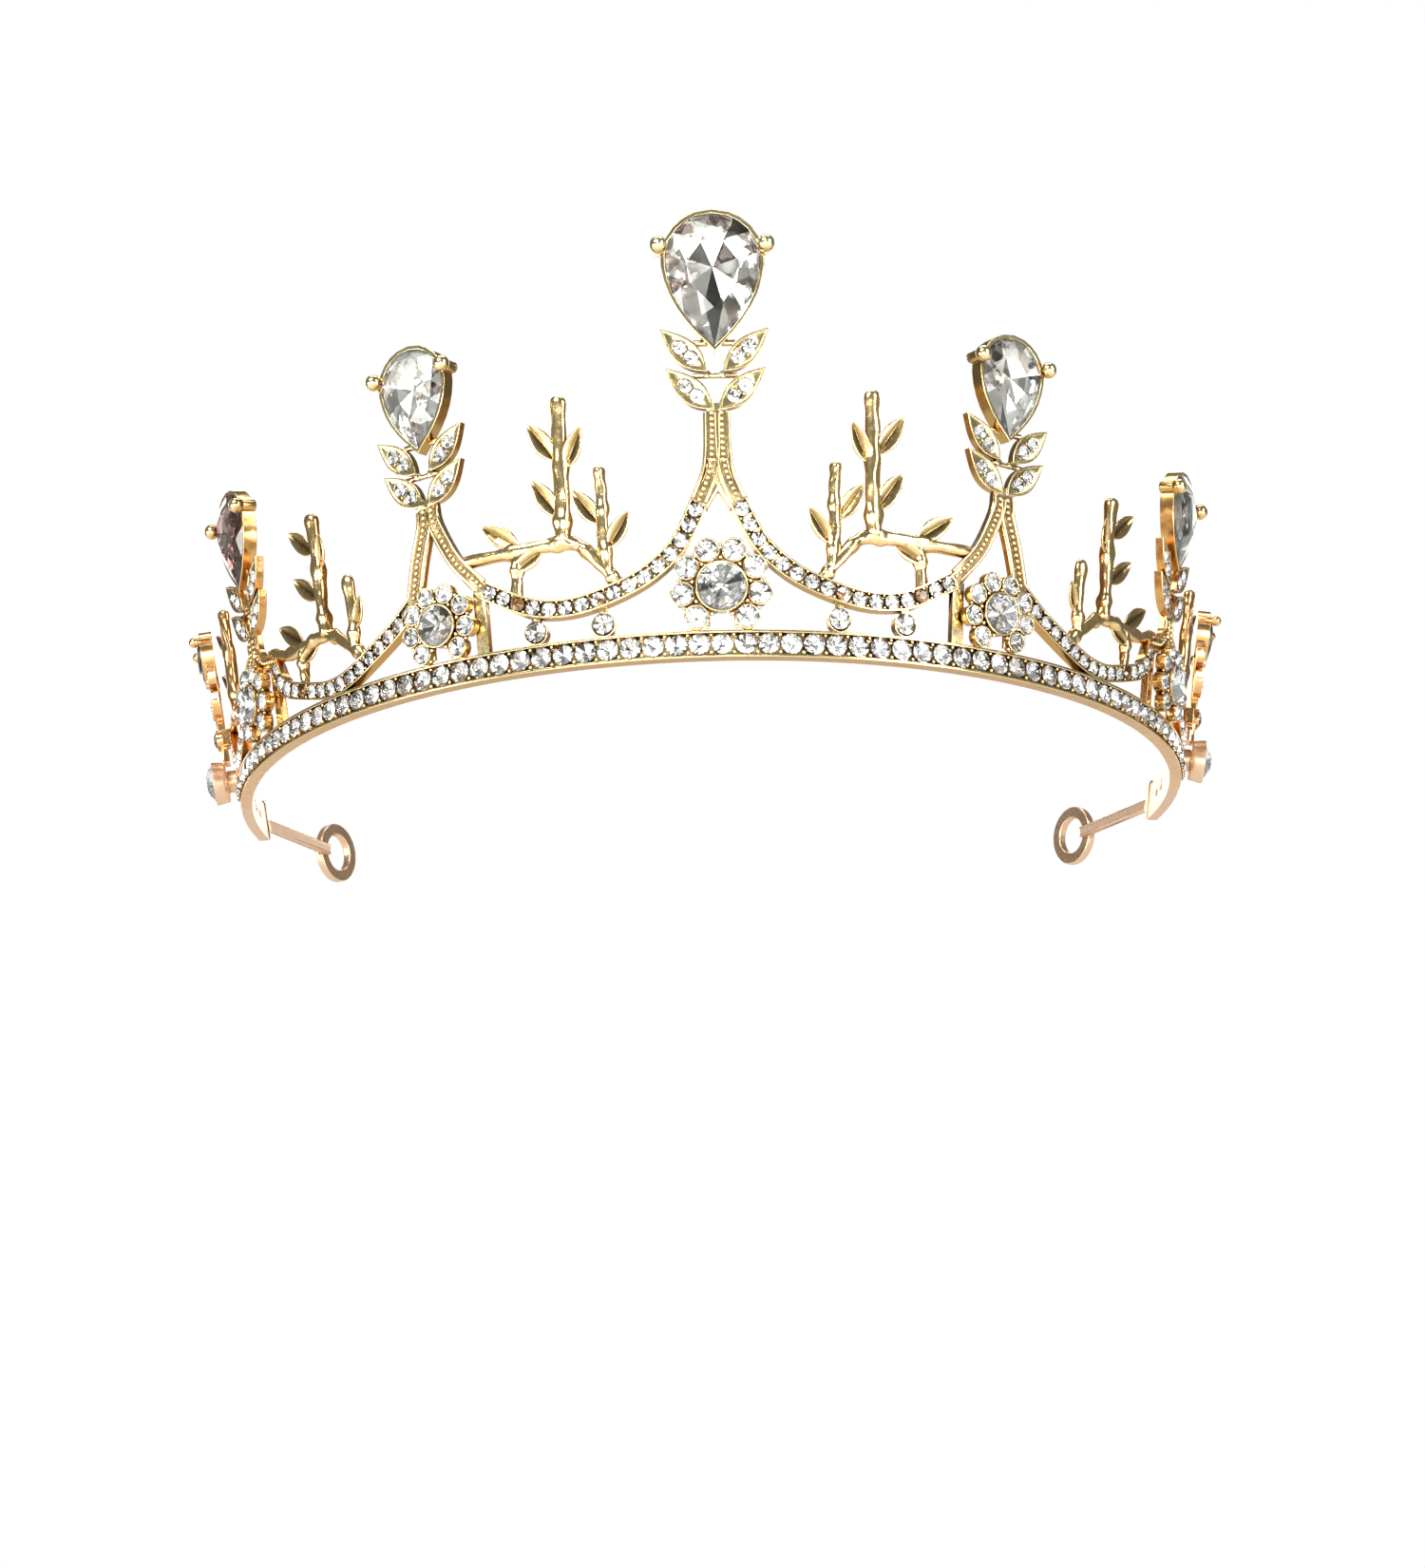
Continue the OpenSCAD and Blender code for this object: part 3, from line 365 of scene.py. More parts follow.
MAUVE_REFLECTION_FOIL = foil("mauve_reflection_pear_foil", (0.75, 0.62, 0.6), (0.2, 0.13, 0.12), (0.42, 0.27, 0.25),
                  0.5, 0.4, 0.84)


# --- stones found in the frame
def islands(node):
    """Corner points of each separate solid of a node."""
    bm = bmesh.new()
    bm.from_mesh(NODES[node].data)
    bmesh.ops.remove_doubles(bm, verts=bm.verts, dist=2e-6)
    todo, out = set(bm.verts), []
    while todo:
        stack, part = [todo.pop()], []
        while stack:
            v = stack.pop()
            part.append(v.co.copy())
            for e in v.link_edges:
                u = e.other_vert(v)
                if u in todo:
                    todo.remove(u)
                    stack.append(u)
        out.append(part)
    bm.free()
    return out


def spread(part, lean=LEAN):
    """Angle of a solid, the wall's axes there, and its least and greatest reach along each."""
    mid = sum(part, Vector()) / len(part)
    t = math.atan2(mid.x, MID_Y * MM - mid.y)
    axes = wall_axes(t, lean)
    reach = [[p.dot(k) for p in part] for k in axes]
    return t, axes, [(min(q), max(q)) for q in reach]


def seats(node, lean=LEAN, crown=0.2):
    """Where each round stone of a node sits: girdle centre, axes, width and angle."""
    out = []
    for part in islands(node):
        t, (x, y, z), (px, py, pz) = spread(part, lean)
        w = max(px[1] - px[0], py[1] - py[0])
        at = x * sum(px) / 2 + y * sum(py) / 2 + z * (pz[1] - crown * w)
        out.append(dict(at=at, x=x, y=y, z=z, w=w, t=t))
    return sorted(out, key=lambda s: s["t"])


def round_cut(depth=0.4):
    """Round stone of width 1: table, eight stars and kites, and a pointed back."""
    rings = [(0.28, 0.2, 8, 0), (0.4102, 0.119, 8, 0.5), (0.5, 0.02, 16, 0)]
    v, start = [], []
    for r, z, n, half in rings:
        start.append(len(v))
        v += [(r * math.cos(math.tau * (k + half) / n), r * math.sin(math.tau * (k + half) / n), z)
              for k in range(n)]
    v.append((0, 0, -depth))
    a, b, c = start
    f = [tuple(range(8))]
    for k in range(8):
        m = (k + 1) % 8
        f += [(a + m, a + k, b + k), (a + m, b + k, c + 2 * m, b + m),
              (b + k, c + 2 * k + 1, c + (2 * k + 2) % 16), (b + k, c + 2 * k, c + 2 * k + 1)]
    crown = len(f)
    f += [(c + (k + 1) % 16, c + k, len(v) - 1) for k in range(16)]
    return v, f, crown


def tone_faces(obj, crown, seed):
    """Marks the foil faces and gives each facet its own random value, from which the foil paints the
    facet bright, nearly black or coloured as painted sparkle.
    """
    rnd = random.Random(seed)
    m = obj.data
    fa = m.attributes.new("facet", "FLOAT", "FACE")
    fo = m.attributes.new("foil", "BOOLEAN", "FACE")
    for k, p in enumerate(m.polygons):
        fa.data[k].value = rnd.random()
        fo.data[k].value = k >= crown
    return obj


# --- geometry trees
def new_tree(name, ins):
    g = bpy.data.node_groups.new(name, "GeometryNodeTree")
    g.interface.new_socket("Geometry", in_out="INPUT", socket_type="NodeSocketGeometry")
    ids = {}
    for label, kind, value in ins:
        s = g.interface.new_socket(label, in_out="INPUT", socket_type=kind)
        if value is not None:
            s.default_value = value
        ids[label] = s.identifier
    g.interface.new_socket("Geometry", in_out="OUTPUT", socket_type="NodeSocketGeometry")
    return g, g.nodes.new("NodeGroupInput"), g.nodes.new("NodeGroupOutput"), ids


def named(g, name, kind):
    n = g.nodes.new("GeometryNodeInputNamedAttribute")
    n.data_type = kind
    n.inputs["Name"].default_value = name
    return n.outputs["Attribute"]


def stone_tree():
    """A cut stone on every point, turned by 'turn', sized by 'width', with a random spin."""
    g, i, o, ids = new_tree("set_stones", [
        ("Stone", "NodeSocketObject", None), ("Spin Seed", "NodeSocketInt", 7),
        ("Crown", "NodeSocketMaterial", None), ("Foil", "NodeSocketMaterial", None)])
    stone = put(g, "GeometryNodeObjectInfo", {"Object": i.outputs["Stone"]})
    turn = put(g, "FunctionNodeEulerToRotation", {"Euler": named(g, "turn", "FLOAT_VECTOR")})
    spin = put(g, "FunctionNodeRandomValue", {"Seed": i.outputs["Spin Seed"]})
    spin.inputs[3].default_value = math.tau
    axis = put(g, "FunctionNodeAxisAngleToRotation", {"Axis": (0, 0, 1),
                                                      "Angle": spin.outputs[1]})
    both = put(g, "FunctionNodeRotateRotation", {"Rotation": turn.outputs[0],
                                                 "Rotate By": axis.outputs[0]},
               rotation_space="LOCAL")
    inst = put(g, "GeometryNodeInstanceOnPoints", {
        "Points": i.outputs["Geometry"], "Instance": stone.outputs["Geometry"],
        "Rotation": both.outputs[0], "Scale": named(g, "width", "FLOAT")})
    # a random value per stone, which shifts the painted sparkle of its foil facets
    lot = put(g, "FunctionNodeRandomValue", {"Seed": i.outputs["Spin Seed"], "ID": put(
        g, "GeometryNodeInputIndex").outputs[0]})
    keep = put(g, "GeometryNodeStoreNamedAttribute", {"Geometry": inst.outputs[0], "Name": "lot"},
               domain="INSTANCE", data_type="FLOAT")
    g.links.new(lot.outputs[1], keep.inputs["Value"])
    real = put(g, "GeometryNodeRealizeInstances", {"Geometry": keep.outputs[0]})
    one = put(g, "GeometryNodeSetMaterial", {"Geometry": real.outputs[0],
                                             "Material": i.outputs["Crown"]})
    two = put(g, "GeometryNodeSetMaterial", {"Geometry": one.outputs[0],
                                             "Selection": named(g, "foil", "BOOLEAN"),
                                             "Material": i.outputs["Foil"]})
    g.links.new(two.outputs[0], o.inputs[0])
    return g, ids


def plate_over(g, shape, i, o):
    """End of a metal tree: real geometry, smooth, in the tree's metal."""
    real = put(g, "GeometryNodeRealizeInstances", {"Geometry": shape})
    soft = put(g, "GeometryNodeSetShadeSmooth", {"Geometry": real.outputs[0]})
    done = put(g, "GeometryNodeSetMaterial", {"Geometry": soft.outputs[0],
                                              "Material": i.outputs["Metal"]})
    g.links.new(done.outputs[0], o.inputs[0])


def bead_tree():
    """A round bead on every point, sized by 'width'."""
    g, i, o, ids = new_tree("set_beads", [
        ("Segments", "NodeSocketInt", 8), ("Rings", "NodeSocketInt", 5),
        ("Metal", "NodeSocketMaterial", None)])
    ball = put(g, "GeometryNodeMeshUVSphere", {"Segments": i.outputs["Segments"],
                                               "Rings": i.outputs["Rings"], "Radius": 0.5})
    inst = put(g, "GeometryNodeInstanceOnPoints", {
        "Points": i.outputs["Geometry"], "Instance": ball.outputs[0],
        "Scale": named(g, "width", "FLOAT")})
    plate_over(g, inst.outputs[0], i, o)
    return g, ids


def milgrain_tree():
    """Beads at an even spacing along lines."""
    g, i, o, ids = new_tree("milgrain", [
        ("Bead Width", "NodeSocketFloat", 0.0005), ("Spacing", "NodeSocketFloat", 0.0007),
        ("Metal", "NodeSocketMaterial", None)])
    line = put(g, "GeometryNodeMeshToCurve", {"Mesh": i.outputs["Geometry"]})
    even = put(g, "GeometryNodeResampleCurve", {"Curve": line.outputs[0],
                                                "Length": i.outputs["Spacing"]}, mode="LENGTH")
    ball = put(g, "GeometryNodeMeshUVSphere", {"Segments": 8, "Rings": 5, "Radius": 0.5})
    inst = put(g, "GeometryNodeInstanceOnPoints", {
        "Points": even.outputs[0], "Instance": ball.outputs[0], "Scale": i.outputs["Bead Width"]})
    plate_over(g, inst.outputs[0], i, o)
    return g, ids


def wire_tree():
    """A round wire along lines, with closed ends."""
    g, i, o, ids = new_tree("rim_wire", [
        ("Wire Width", "NodeSocketFloat", 0.0005), ("Sides", "NodeSocketInt", 8),
        ("Metal", "NodeSocketMaterial", None)])
    line = put(g, "GeometryNodeMeshToCurve", {"Mesh": i.outputs["Geometry"]})
    half = put(g, "ShaderNodeMath", {0: i.outputs["Wire Width"], 1: 0.5}, operation="MULTIPLY")
    ring = put(g, "GeometryNodeCurvePrimitiveCircle", {"Resolution": i.outputs["Sides"],
                                                       "Radius": half.outputs[0]})
    skin = put(g, "GeometryNodeCurveToMesh", {"Curve": line.outputs[0],
                                              "Profile Curve": ring.outputs[0],
                                              "Fill Caps": True})
    plate_over(g, skin.outputs[0], i, o)
    return g, ids


STONE_TREE, BEAD_TREE = stone_tree(), bead_tree()
MILGRAIN_TREE, WIRE_TREE = milgrain_tree(), wire_tree()


def grown(name, base, tree, values):
    """Runs a tree on a base object and keeps the result as a plain mesh."""
    g, ids = tree
    m = base.modifiers.new("grow", "NODES")
    m.node_group = g
    for k, v in values.items():
        m[ids[k]] = v
    base.update_tag()
    dg = bpy.context.evaluated_depsgraph_get()
    mesh = bpy.data.meshes.new_from_object(base.evaluated_get(dg))
    mesh.name = name
    base.modifiers.remove(m)
    bpy.data.objects.remove(base)
    return link(bpy.data.objects.new(name, mesh))


def dots(points, widths, turns=None):
    """Loose points that carry a width and a turn for a tree."""
    mesh = bpy.data.meshes.new("seats")
    mesh.from_pydata([tuple(p) for p in points], [], [])
    w = mesh.attributes.new("width", "FLOAT", "POINT")
    w.data.foreach_set("value", widths)
    if turns:
        t = mesh.attributes.new("turn", "FLOAT_VECTOR", "POINT")
        t.data.foreach_set("vector", [c for q in turns for c in q])
    return link(bpy.data.objects.new("seats", mesh))


# a deep cut for the small stones and a flat one for the flower centres and end stones
CUTS = []
for depth, tone in ((0.4, 11), (0.2, 5)):
    v, f, crown = round_cut(depth)
    CUTS.append(tone_faces(mesh_piece("round_cut", v, f), crown, tone))


def stone_piece(name, node, found, cut, foil_mat, seed):
    turns = [Matrix((s["x"], s["y"], s["z"])).transposed().to_euler() for s in found]
    base = dots([s["at"] for s in found], [s["w"] for s in found], turns)
    piece = grown(name, base, STONE_TREE, {"Stone": cut, "Spin Seed": seed, "Crown": CRYSTAL,
                                           "Foil": foil_mat})
    hand_over(piece, "stone", node)


SEATS = {
    "base_row_stones": seats("base_row_stones", 0),
    "flower_centre_stones": seats("flower_centre_stones", crown=0.22),
    "flower_petal_stones": seats("flower_petal_stones"),
    "leaf_stones": seats("leaf_stones"),
    "inner_swag_stones": seats("inner_swag_stones"),
    "outer_swag_stones": seats("outer_swag_stones"),
    "end_swag_stones": seats("end_swag_stones"),
    "link_stones": seats("link_stones"),
    "end_round_stones": seats("end_round_stones", crown=1.4 / 6),
}
for seed, (node, found) in enumerate(SEATS.items()):
    large = node in ("flower_centre_stones", "end_round_stones")
    stone_piece(node.replace("_stones", "_crystals"), node, found, CUTS[large],
                STAR_FOIL if large else SMALL_FOIL, seed + 3)

# --- claw beads between neighbouring stones
NEAR_WIDTHS, NEAR_GAP = 1.14, 0.15    # neighbours are closer than this
BASE_BEAD, SMALL_BEAD = 0.52, 0.4
ROW_REACH, LEAF_REACH = 0.42, 0.36    # beads off the line of the stones, in stone widths
beads = []


def claws(a, b, reach, width, lift=0.12):
    """A bead each side of the gap between two neighbouring stones."""
    mid = (a["at"] + b["at"]) / 2
    side = a["z"].cross(b["at"] - a["at"]).normalized()
    for s in (-1, 1):
        beads.append((mid + side * s * reach * a["w"] + a["z"] * lift * MM, width * MM))


for node in ("base_row_stones", "inner_swag_stones", "outer_swag_stones", "end_swag_stones",
             "leaf_stones"):
    for side in (-1, 0, 1):
        row = [s for s in SEATS[node] if (node == "base_row_stones" and side == 0)
               or (node != "base_row_stones" and s["t"] * side > 0)]
        for k, a in enumerate(row):
            for b in row[k + 1:]:
                if (a["at"] - b["at"]).length < NEAR_WIDTHS * a["w"] + NEAR_GAP * MM:
                    claws(a, b, ROW_REACH if node != "leaf_stones" else LEAF_REACH,
                          BASE_BEAD if node == "base_row_stones" else SMALL_BEAD)
# two beads either side of each petal: the turn away from it in degrees, then how far out in
# widths of the centre stone, the bead's width, and how far behind that stone's girdle
PETAL_TURN = 20
PETAL_BEADS = ((0.6, 0.62, 0.3), (0.88, 0.5, 0.55))
for centre in SEATS["flower_centre_stones"]:
    ring = [s for s in SEATS["flower_petal_stones"]
            if (s["at"] - centre["at"]).length < 1.0 * centre["w"]]
    for p in ring:
        out = (p["at"] - centre["at"]).normalized()
        ang = math.atan2(out.dot(centre["y"]), out.dot(centre["x"]))
        for turn, (reach, width, drop) in [(s * PETAL_TURN, q) for s in (1, -1)
                                           for q in PETAL_BEADS]:
            d = (math.cos(ang + math.radians(turn)) * centre["x"]
                 + math.sin(ang + math.radians(turn)) * centre["y"])
            beads.append((centre["at"] + d * reach * centre["w"] - centre["z"] * drop * MM,
                          width * MM))
piece = grown("claw_beads", dots([b[0] for b in beads], [b[1] for b in beads]), BEAD_TREE,
              {"Segments": 8, "Rings": 5, "Metal": SETTING_GOLD})
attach(piece, "root")


# --- milgrain along the forks
def leg_lines():
    """Middle lines of the forked strips on the right half, with each strip's width."""
    m = HEADS["middle"]
    lines = [(smooth([[0.6, stem_z(m) - 0.3], [0.72, 27.5], [1.2, 24.4],
                      [2.5, FORK_Z + 0.5]], 6), 2.3)]
    for k in ("inner", "outer"):
        h = HEADS[k]
        a, z = head_a(h), stem_z(h)
        lines.append((smooth([[a - 0.6, z - 0.6], [a - 0.9, z - 2.6],
                              [(a + in_foot(h)) / 2 + 0.2, (z + FOOT_Z) / 2 - 1.6],
                              [in_foot(h) + 0.3, FOOT_Z + 0.8]], 6), 2.2))
        lines.append((smooth([[a + 0.6, z - 0.6], [a + 0.8, z - 2.8],
                              [(a + out_foot(h)) / 2 + 0.3, (z + FOOT_Z) / 2 - 0.6],
                              [out_foot(h) - 0.4, FOOT_Z + 1.2]], 6), 2.4))
    return lines


def line_mesh(name, lines, n):
    """Lines on the wall, both halves, as a mesh of edges for a tree."""
    verts, edges = [], []
    for line in lines:
        for s in (1, -1):
            start = len(verts)
            verts += [wall(s * p[0], p[1], n) for p in line]
            edges += [(k, k + 1) for k in range(start, len(verts) - 1)]
    mesh = bpy.data.meshes.new(name)
    mesh.from_pydata([tuple(v) for v in verts], edges, [])
    return link(bpy.data.objects.new(name, mesh))


def beside(line, off):
    """A line moved sideways on the wall."""
    out = []
    for i, p in enumerate(line):
        g = arc_scale(p[1])
        d = direction(line, i)
        out.append((p[0] - d[1] * off / g, p[1] + d[0] * off))
    return out


MILGRAIN_W, MILGRAIN_STEP = 0.68, 0.8
RIM_W, RIM_IN = 0.5, 0.24
piece = grown("fork_milgrain", line_mesh("milgrain_lines", [q[0] for q in leg_lines()],
                                         STRIP_N + 0.03), MILGRAIN_TREE,
              {"Bead Width": MILGRAIN_W * MM, "Spacing": MILGRAIN_STEP * MM,
               "Metal": SETTING_GOLD})
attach(piece, "root")
edges = [beside(line, s * (w / 2 - RIM_IN)) for line, w in leg_lines() for s in (1, -1)]
piece = grown("fork_rims", line_mesh("rim_lines", edges, STRIP_N - 0.02), WIRE_TREE,
              {"Wire Width": RIM_W * MM, "Sides": 8, "Metal": PALE_GOLD})
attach(piece, "root")


# --- pear stones
PEAR_SHOULDER = 0.36     # share of the height down to the widest place


def pear_x(v):
    """Half width of a pear at share v of its height from the top, against its widest."""
    k = PEAR_SHOULDER
    if v <= k:
        return math.sqrt(max(0, 1 - ((k - v) / k) ** 2))
    u = (v - k) / (1 - k)
    return math.cos(math.radians(90 * u ** 1.25)) * (1 - 0.06 * math.sin(math.pi * u))


def pear_outline(w, h, n=16):
    """n points round the pear, even in direction, starting at the bottom point."""
    fine = [(w / 2 * pear_x(v / 200), h / 2 - h * v / 200) for v in range(201)]
    loop = [(0, -h / 2)] + fine[-2:0:-1] + [(0, h / 2)]
    lens = [0]
    for a, b in zip(loop, loop[1:]):
        lens.append(lens[-1] + math.dist(a, b))
    half = []
    for k in range(n // 2 + 1):
        want = lens[-1] * k / (n // 2)
        j = max(1, next((i for i, q in enumerate(lens) if q >= want - 1e-9), len(lens) - 1))
        f = (want - lens[j - 1]) / max(lens[j] - lens[j - 1], 1e-9)
        half.append(tuple(loop[j - 1][c] + f * (loop[j][c] - loop[j - 1][c]) for c in (0, 1)))
    return half + [(-x, y) for x, y in reversed(half[1:-1])]


def pear_cut(w, h, up, down, n=16):
    """Pear cut: table, stars, kites, girdle facets and a back of two rows to a high culet."""
    heart = 0.1 * h
    ring = pear_outline(w, h, n)
    far = pear_outline(w, h, 2 * n)

    def shrink(p, k):
        return (p[0] * k, heart + (p[1] - heart) * k)
    v = [(*shrink(p, 0.56), up) for p in ring[::2]]
    v += [(*shrink(p, 0.8), up * 0.62) for p in far[2::4]]
    v += [(*p, 0.1) for p in ring]
    v += [(*p, -0.1) for p in ring]
    v += [(*shrink(p, 0.52), -down * 0.66) for p in far[2::4]]
    v.append((0, heart, -down))
    m = n // 2
    a, b, c, d, e, tip = 0, m, 2 * m, 2 * m + n, 2 * m + 2 * n, 3 * m + 2 * n
    f = [tuple(range(m))]
    for k in range(m):
        q = (k + 1) % m
        f += [(a + q, a + k, b + k), (a + q, b + k, c + 2 * q, b + q),
              (b + k, c + 2 * k + 1, c + (2 * k + 2) % n), (b + k, c + 2 * k, c + 2 * k + 1)]
    f += [(c + (k + 1) % n, c + k, d + k, d + (k + 1) % n) for k in range(n)]
    crown = len(f)
    for k in range(m):
        q = (k + 1) % m
        f += [(d + 2 * k + 1, d + 2 * k, e + k), (d + (2 * k + 2) % n, d + 2 * k + 1, e + k),
              (d + 2 * q, e + k, e + q), (e + q, e + k, tip)]
    return v, f, crown


def pear_piece(name, part, w, h, foil_mat, seed, up, down):
    """A cut pear in the place of one solid, up and down from its girdle."""
    _, (x, y, z), (px, py, pz) = spread(part)
    at = x * sum(px) / 2 + y * sum(py) / 2 + z * (pz[1] - up * MM)
    v, f, crown = pear_cut(w, h, up, down)
    pts = [at + (x * p[0] + y * p[1] + z * p[2]) * MM for p in v]
    obj = mesh_piece(name, pts, f, (CRYSTAL, foil_mat))
    tone_faces(obj, crown, seed)
    for k, p in enumerate(obj.data.polygons):
        p.material_index = int(k >= crown)
    return obj


# the left outer pear gets the foil with the painted pinkish reflection
PEAR_FOILS = {"left_outer": MAUVE_REFLECTION_FOIL, "left_inner": SIDE_FOIL, "right_inner": SIDE_FOIL,
              "right_outer": SIDE_FOIL}
for side in ("middle", "right_inner", "left_inner", "right_outer", "left_outer"):
    h = HEADS[side.split("_")[-1]]
    node = side + "_pear_stone"
    p = pear_piece(side + "_pear_crystal", [v.co for v in NODES[node].data.vertices],
                   h["w"], h["h"], PEAR_FOILS.get(side, PEAR_FOIL),
                   {"middle": 21, "right_inner": 5, "left_inner": 8}.get(side, 13),
                   0.13 * h["w"], min(1.65, 0.2 * h["w"]))
    hand_over(p, "stone", node)
ends = [pear_piece("end_pear", part, *END_PEAR, PEAR_FOIL, 31, 0.78, 1.2)
        for part in islands("end_pear_stones")]
with bpy.context.temp_override(active_object=ends[0], selected_editable_objects=ends):
    bpy.ops.object.join()
ends[0].name = "end_pear_crystals"
hand_over(ends[0], "stone", "end_pear_stones")
for cut in CUTS:
    bpy.data.objects.remove(cut)


# --- metal parts of the frame with their edges eased
def eased(node, slot, metal, edge=0.1, angle=32, steps=2):
    """A copy of a metal node with rounded edges, in place of the node."""
    mesh = NODES[node].data.copy()
    mesh.name = node + "_metal"
    bm = bmesh.new()
    bm.from_mesh(mesh)
    bmesh.ops.remove_doubles(bm, verts=bm.verts, dist=8e-6)
    bmesh.ops.join_triangles(bm, faces=bm.faces, angle_face_threshold=0.01,
                             angle_shape_threshold=3.1)
    for f in bm.faces:
        f.smooth = True
    bm.to_mesh(mesh)
    bm.free()
    mesh.materials.clear()
    mesh.materials.append(metal)
    mesh.set_sharp_from_angle(angle=math.radians(angle))
    obj = link(bpy.data.objects.new(node + "_metal", mesh))
    b = obj.modifiers.new("eased_edges", "BEVEL")
    b.width = edge * MM
    b.segments = steps
    b.limit_method = "ANGLE"
    b.angle_limit = math.radians(angle)
    b.use_clamp_overlap = False
    b.harden_normals = True
    hand_over(obj, slot, node)


HEAD_METAL = {"frame": ("pale_gold", PALE_GOLD), "leaf_spray": ("pale_gold", PALE_GOLD),
              "pear_setting": ("setting_gold", SETTING_GOLD),
              "flower_setting": ("setting_gold", SETTING_GOLD)}
eased("base_band", "pale_gold", PALE_GOLD, 0.12)
for part, (slot, metal) in HEAD_METAL.items():
    eased("middle_" + part, slot, metal)
eased("link_cups", "pale_gold", PALE_GOLD)
for side in ("right", "left"):
    for k in ("inner", "outer"):
        for part, (slot, metal) in HEAD_METAL.items():
            eased(f"{side}_{k}_{part}", slot, metal)
    for k in ("inner", "outer", "end"):
        eased(f"{side}_{k}_swag", "pale_gold", PALE_GOLD)
    eased(f"{side}_end_column", "pale_gold", PALE_GOLD)
    eased(f"{side}_end_plate", "rose_gold", ROSE_GOLD, 0.15)
    eased(f"{side}_eyelet_arm", "rose_gold", ROSE_GOLD, 0.3, steps=3)


# --- sprigs: knobbly twigs and creased leaves
class Sprig:
    def __init__(self, side, seed):
        self.v, self.f, self.side, self.rnd = [], [], side, random.Random(seed)
        self.vein_shade = {}

    def place(self, a, z, n):
        return wall(self.side * a, z, n)

    def add(self, rings):
        """Rings of equal count joined into a closed skin."""
        s, m = len(self.v), len(rings[0])
        for r in rings:
            self.v += r
        for i in range(len(rings) - 1):
            for j in range(m):
                e = (j + 1) % m
                self.f.append((s + i * m + j, s + i * m + e, s + (i + 1) * m + e,
                               s + (i + 1) * m + j))
        self.f.append(tuple(s + j for j in reversed(range(m))))
        self.f.append(tuple(s + (len(rings) - 1) * m + j for j in range(m)))

    def twig(self, line, d, mid=TWIG_N, taper=0.92):
        """A cast twig: lumps down its length, a collar at even steps and blunt ends."""
        rings, m = [], 10
        fine = smooth([tuple(p) for p in line], 7)
        count = len(fine)
        lump = [1.0] * m
        for i, p in enumerate(fine):
            t = direction(fine, i)
            if i % 3 == 0:
                lump = [1 + self.rnd.uniform(-0.16, 0.26) for _ in range(m)]
            k = 1.05 * (1 - (1 - taper) * i / count)
            if i % 8 in (4, 5):
                k *= 1.26
            if i % 8 in (6, 7):
                k *= 0.92
            if i in (0, count - 1):
                k *= 0.78
            g = arc_scale(p[1])
            ring = []
            for j in range(m):
                c, s = math.cos(math.tau * j / m), math.sin(math.tau * j / m)
                across = -d / 2 * k * lump[j] * c
                ring.append(self.place(p[0] + t[1] * across / g, p[1] - t[0] * across,
                                       mid - d * 0.42 * k * lump[j] * s))
            rings.append(ring)
        self.add(rings)

    def leaf(self, a0, z0, ang, k, tilt):
        """A pointed leaf, dished either side of a sunken midrib, with a rolled edge, and painted
        shade values along that sunken middle.
        """
        st = [0, 0.06, 0.15, 0.28, 0.42, 0.56, 0.7, 0.82, 0.92, 1]
        wd = [0.2, 0.4, 0.68, 0.92, 1.0, 0.96, 0.8, 0.56, 0.3, 0.06]
        top = [(-1, 0.34), (-0.82, 0.5), (-0.5, 0.34), (-0.16, 0.1), (0, -0.06), (0.16, 0.1),
               (0.5, 0.34), (0.82, 0.5), (1, 0.34)]
        under = [(0.82, -0.08), (0.4, -0.3), (0, -0.46), (-0.4, -0.3), (-0.82, -0.08)]
        c, s = math.cos(math.radians(ang)), math.sin(math.radians(ang))
        g = arc_scale(z0)
        rings = []
        # painted shade across the sunken middle of each row, darkest at the middle, none in the first
        # and last rows
        dark = (0, 0.05, 0.35, 0.8, 1, 0.8, 0.35, 0.05, 0)
        for row, u in enumerate(st):
            for j, value in enumerate(dark):
                point = len(self.v) + row * len(top + under) + j
                self.vein_shade[point] = value if 0 < row < len(st) - 1 else 0
        for u, w in zip(st, wd):
            x = LEAF_LEN * k * u
            half = LEAF_W * k / 2 * w
            n = -0.75 + tilt * u * u
            lift = 0.3 + 0.7 * w
            rings.append([self.place(a0 + (x * c - v * half * s) / g, z0 + x * s + v * half * c,
                                     n + q * lift * 0.9 + 0.02) for v, q in top + under])
        self.add(rings)

    def finish(self, name, node):
        bm = bmesh.new()
        vs = [bm.verts.new(p) for p in self.v]
        for f in self.f:
            bm.faces.new([vs[k] for k in f])
        bmesh.ops.recalc_face_normals(bm, faces=bm.faces)
        for f in bm.faces:
            f.smooth = True
        mesh = bpy.data.meshes.new(name)
        bm.to_mesh(mesh)
        bm.free()
        mesh.materials.append(SPRIG_GOLD)
        # painted shade values for the sunken middles of the leaves, read by the sprig gold
        vein_shade = mesh.attributes.new("vein_shade", "FLOAT", "POINT")
        for k, value in self.vein_shade.items():
            vein_shade.data[k].value = value
        obj = link(bpy.data.objects.new(name, mesh))
        m = obj.modifiers.new("rounded", "SUBSURF")
        m.levels = m.render_levels = 1
        hand_over(obj, "sprig_gold", node)


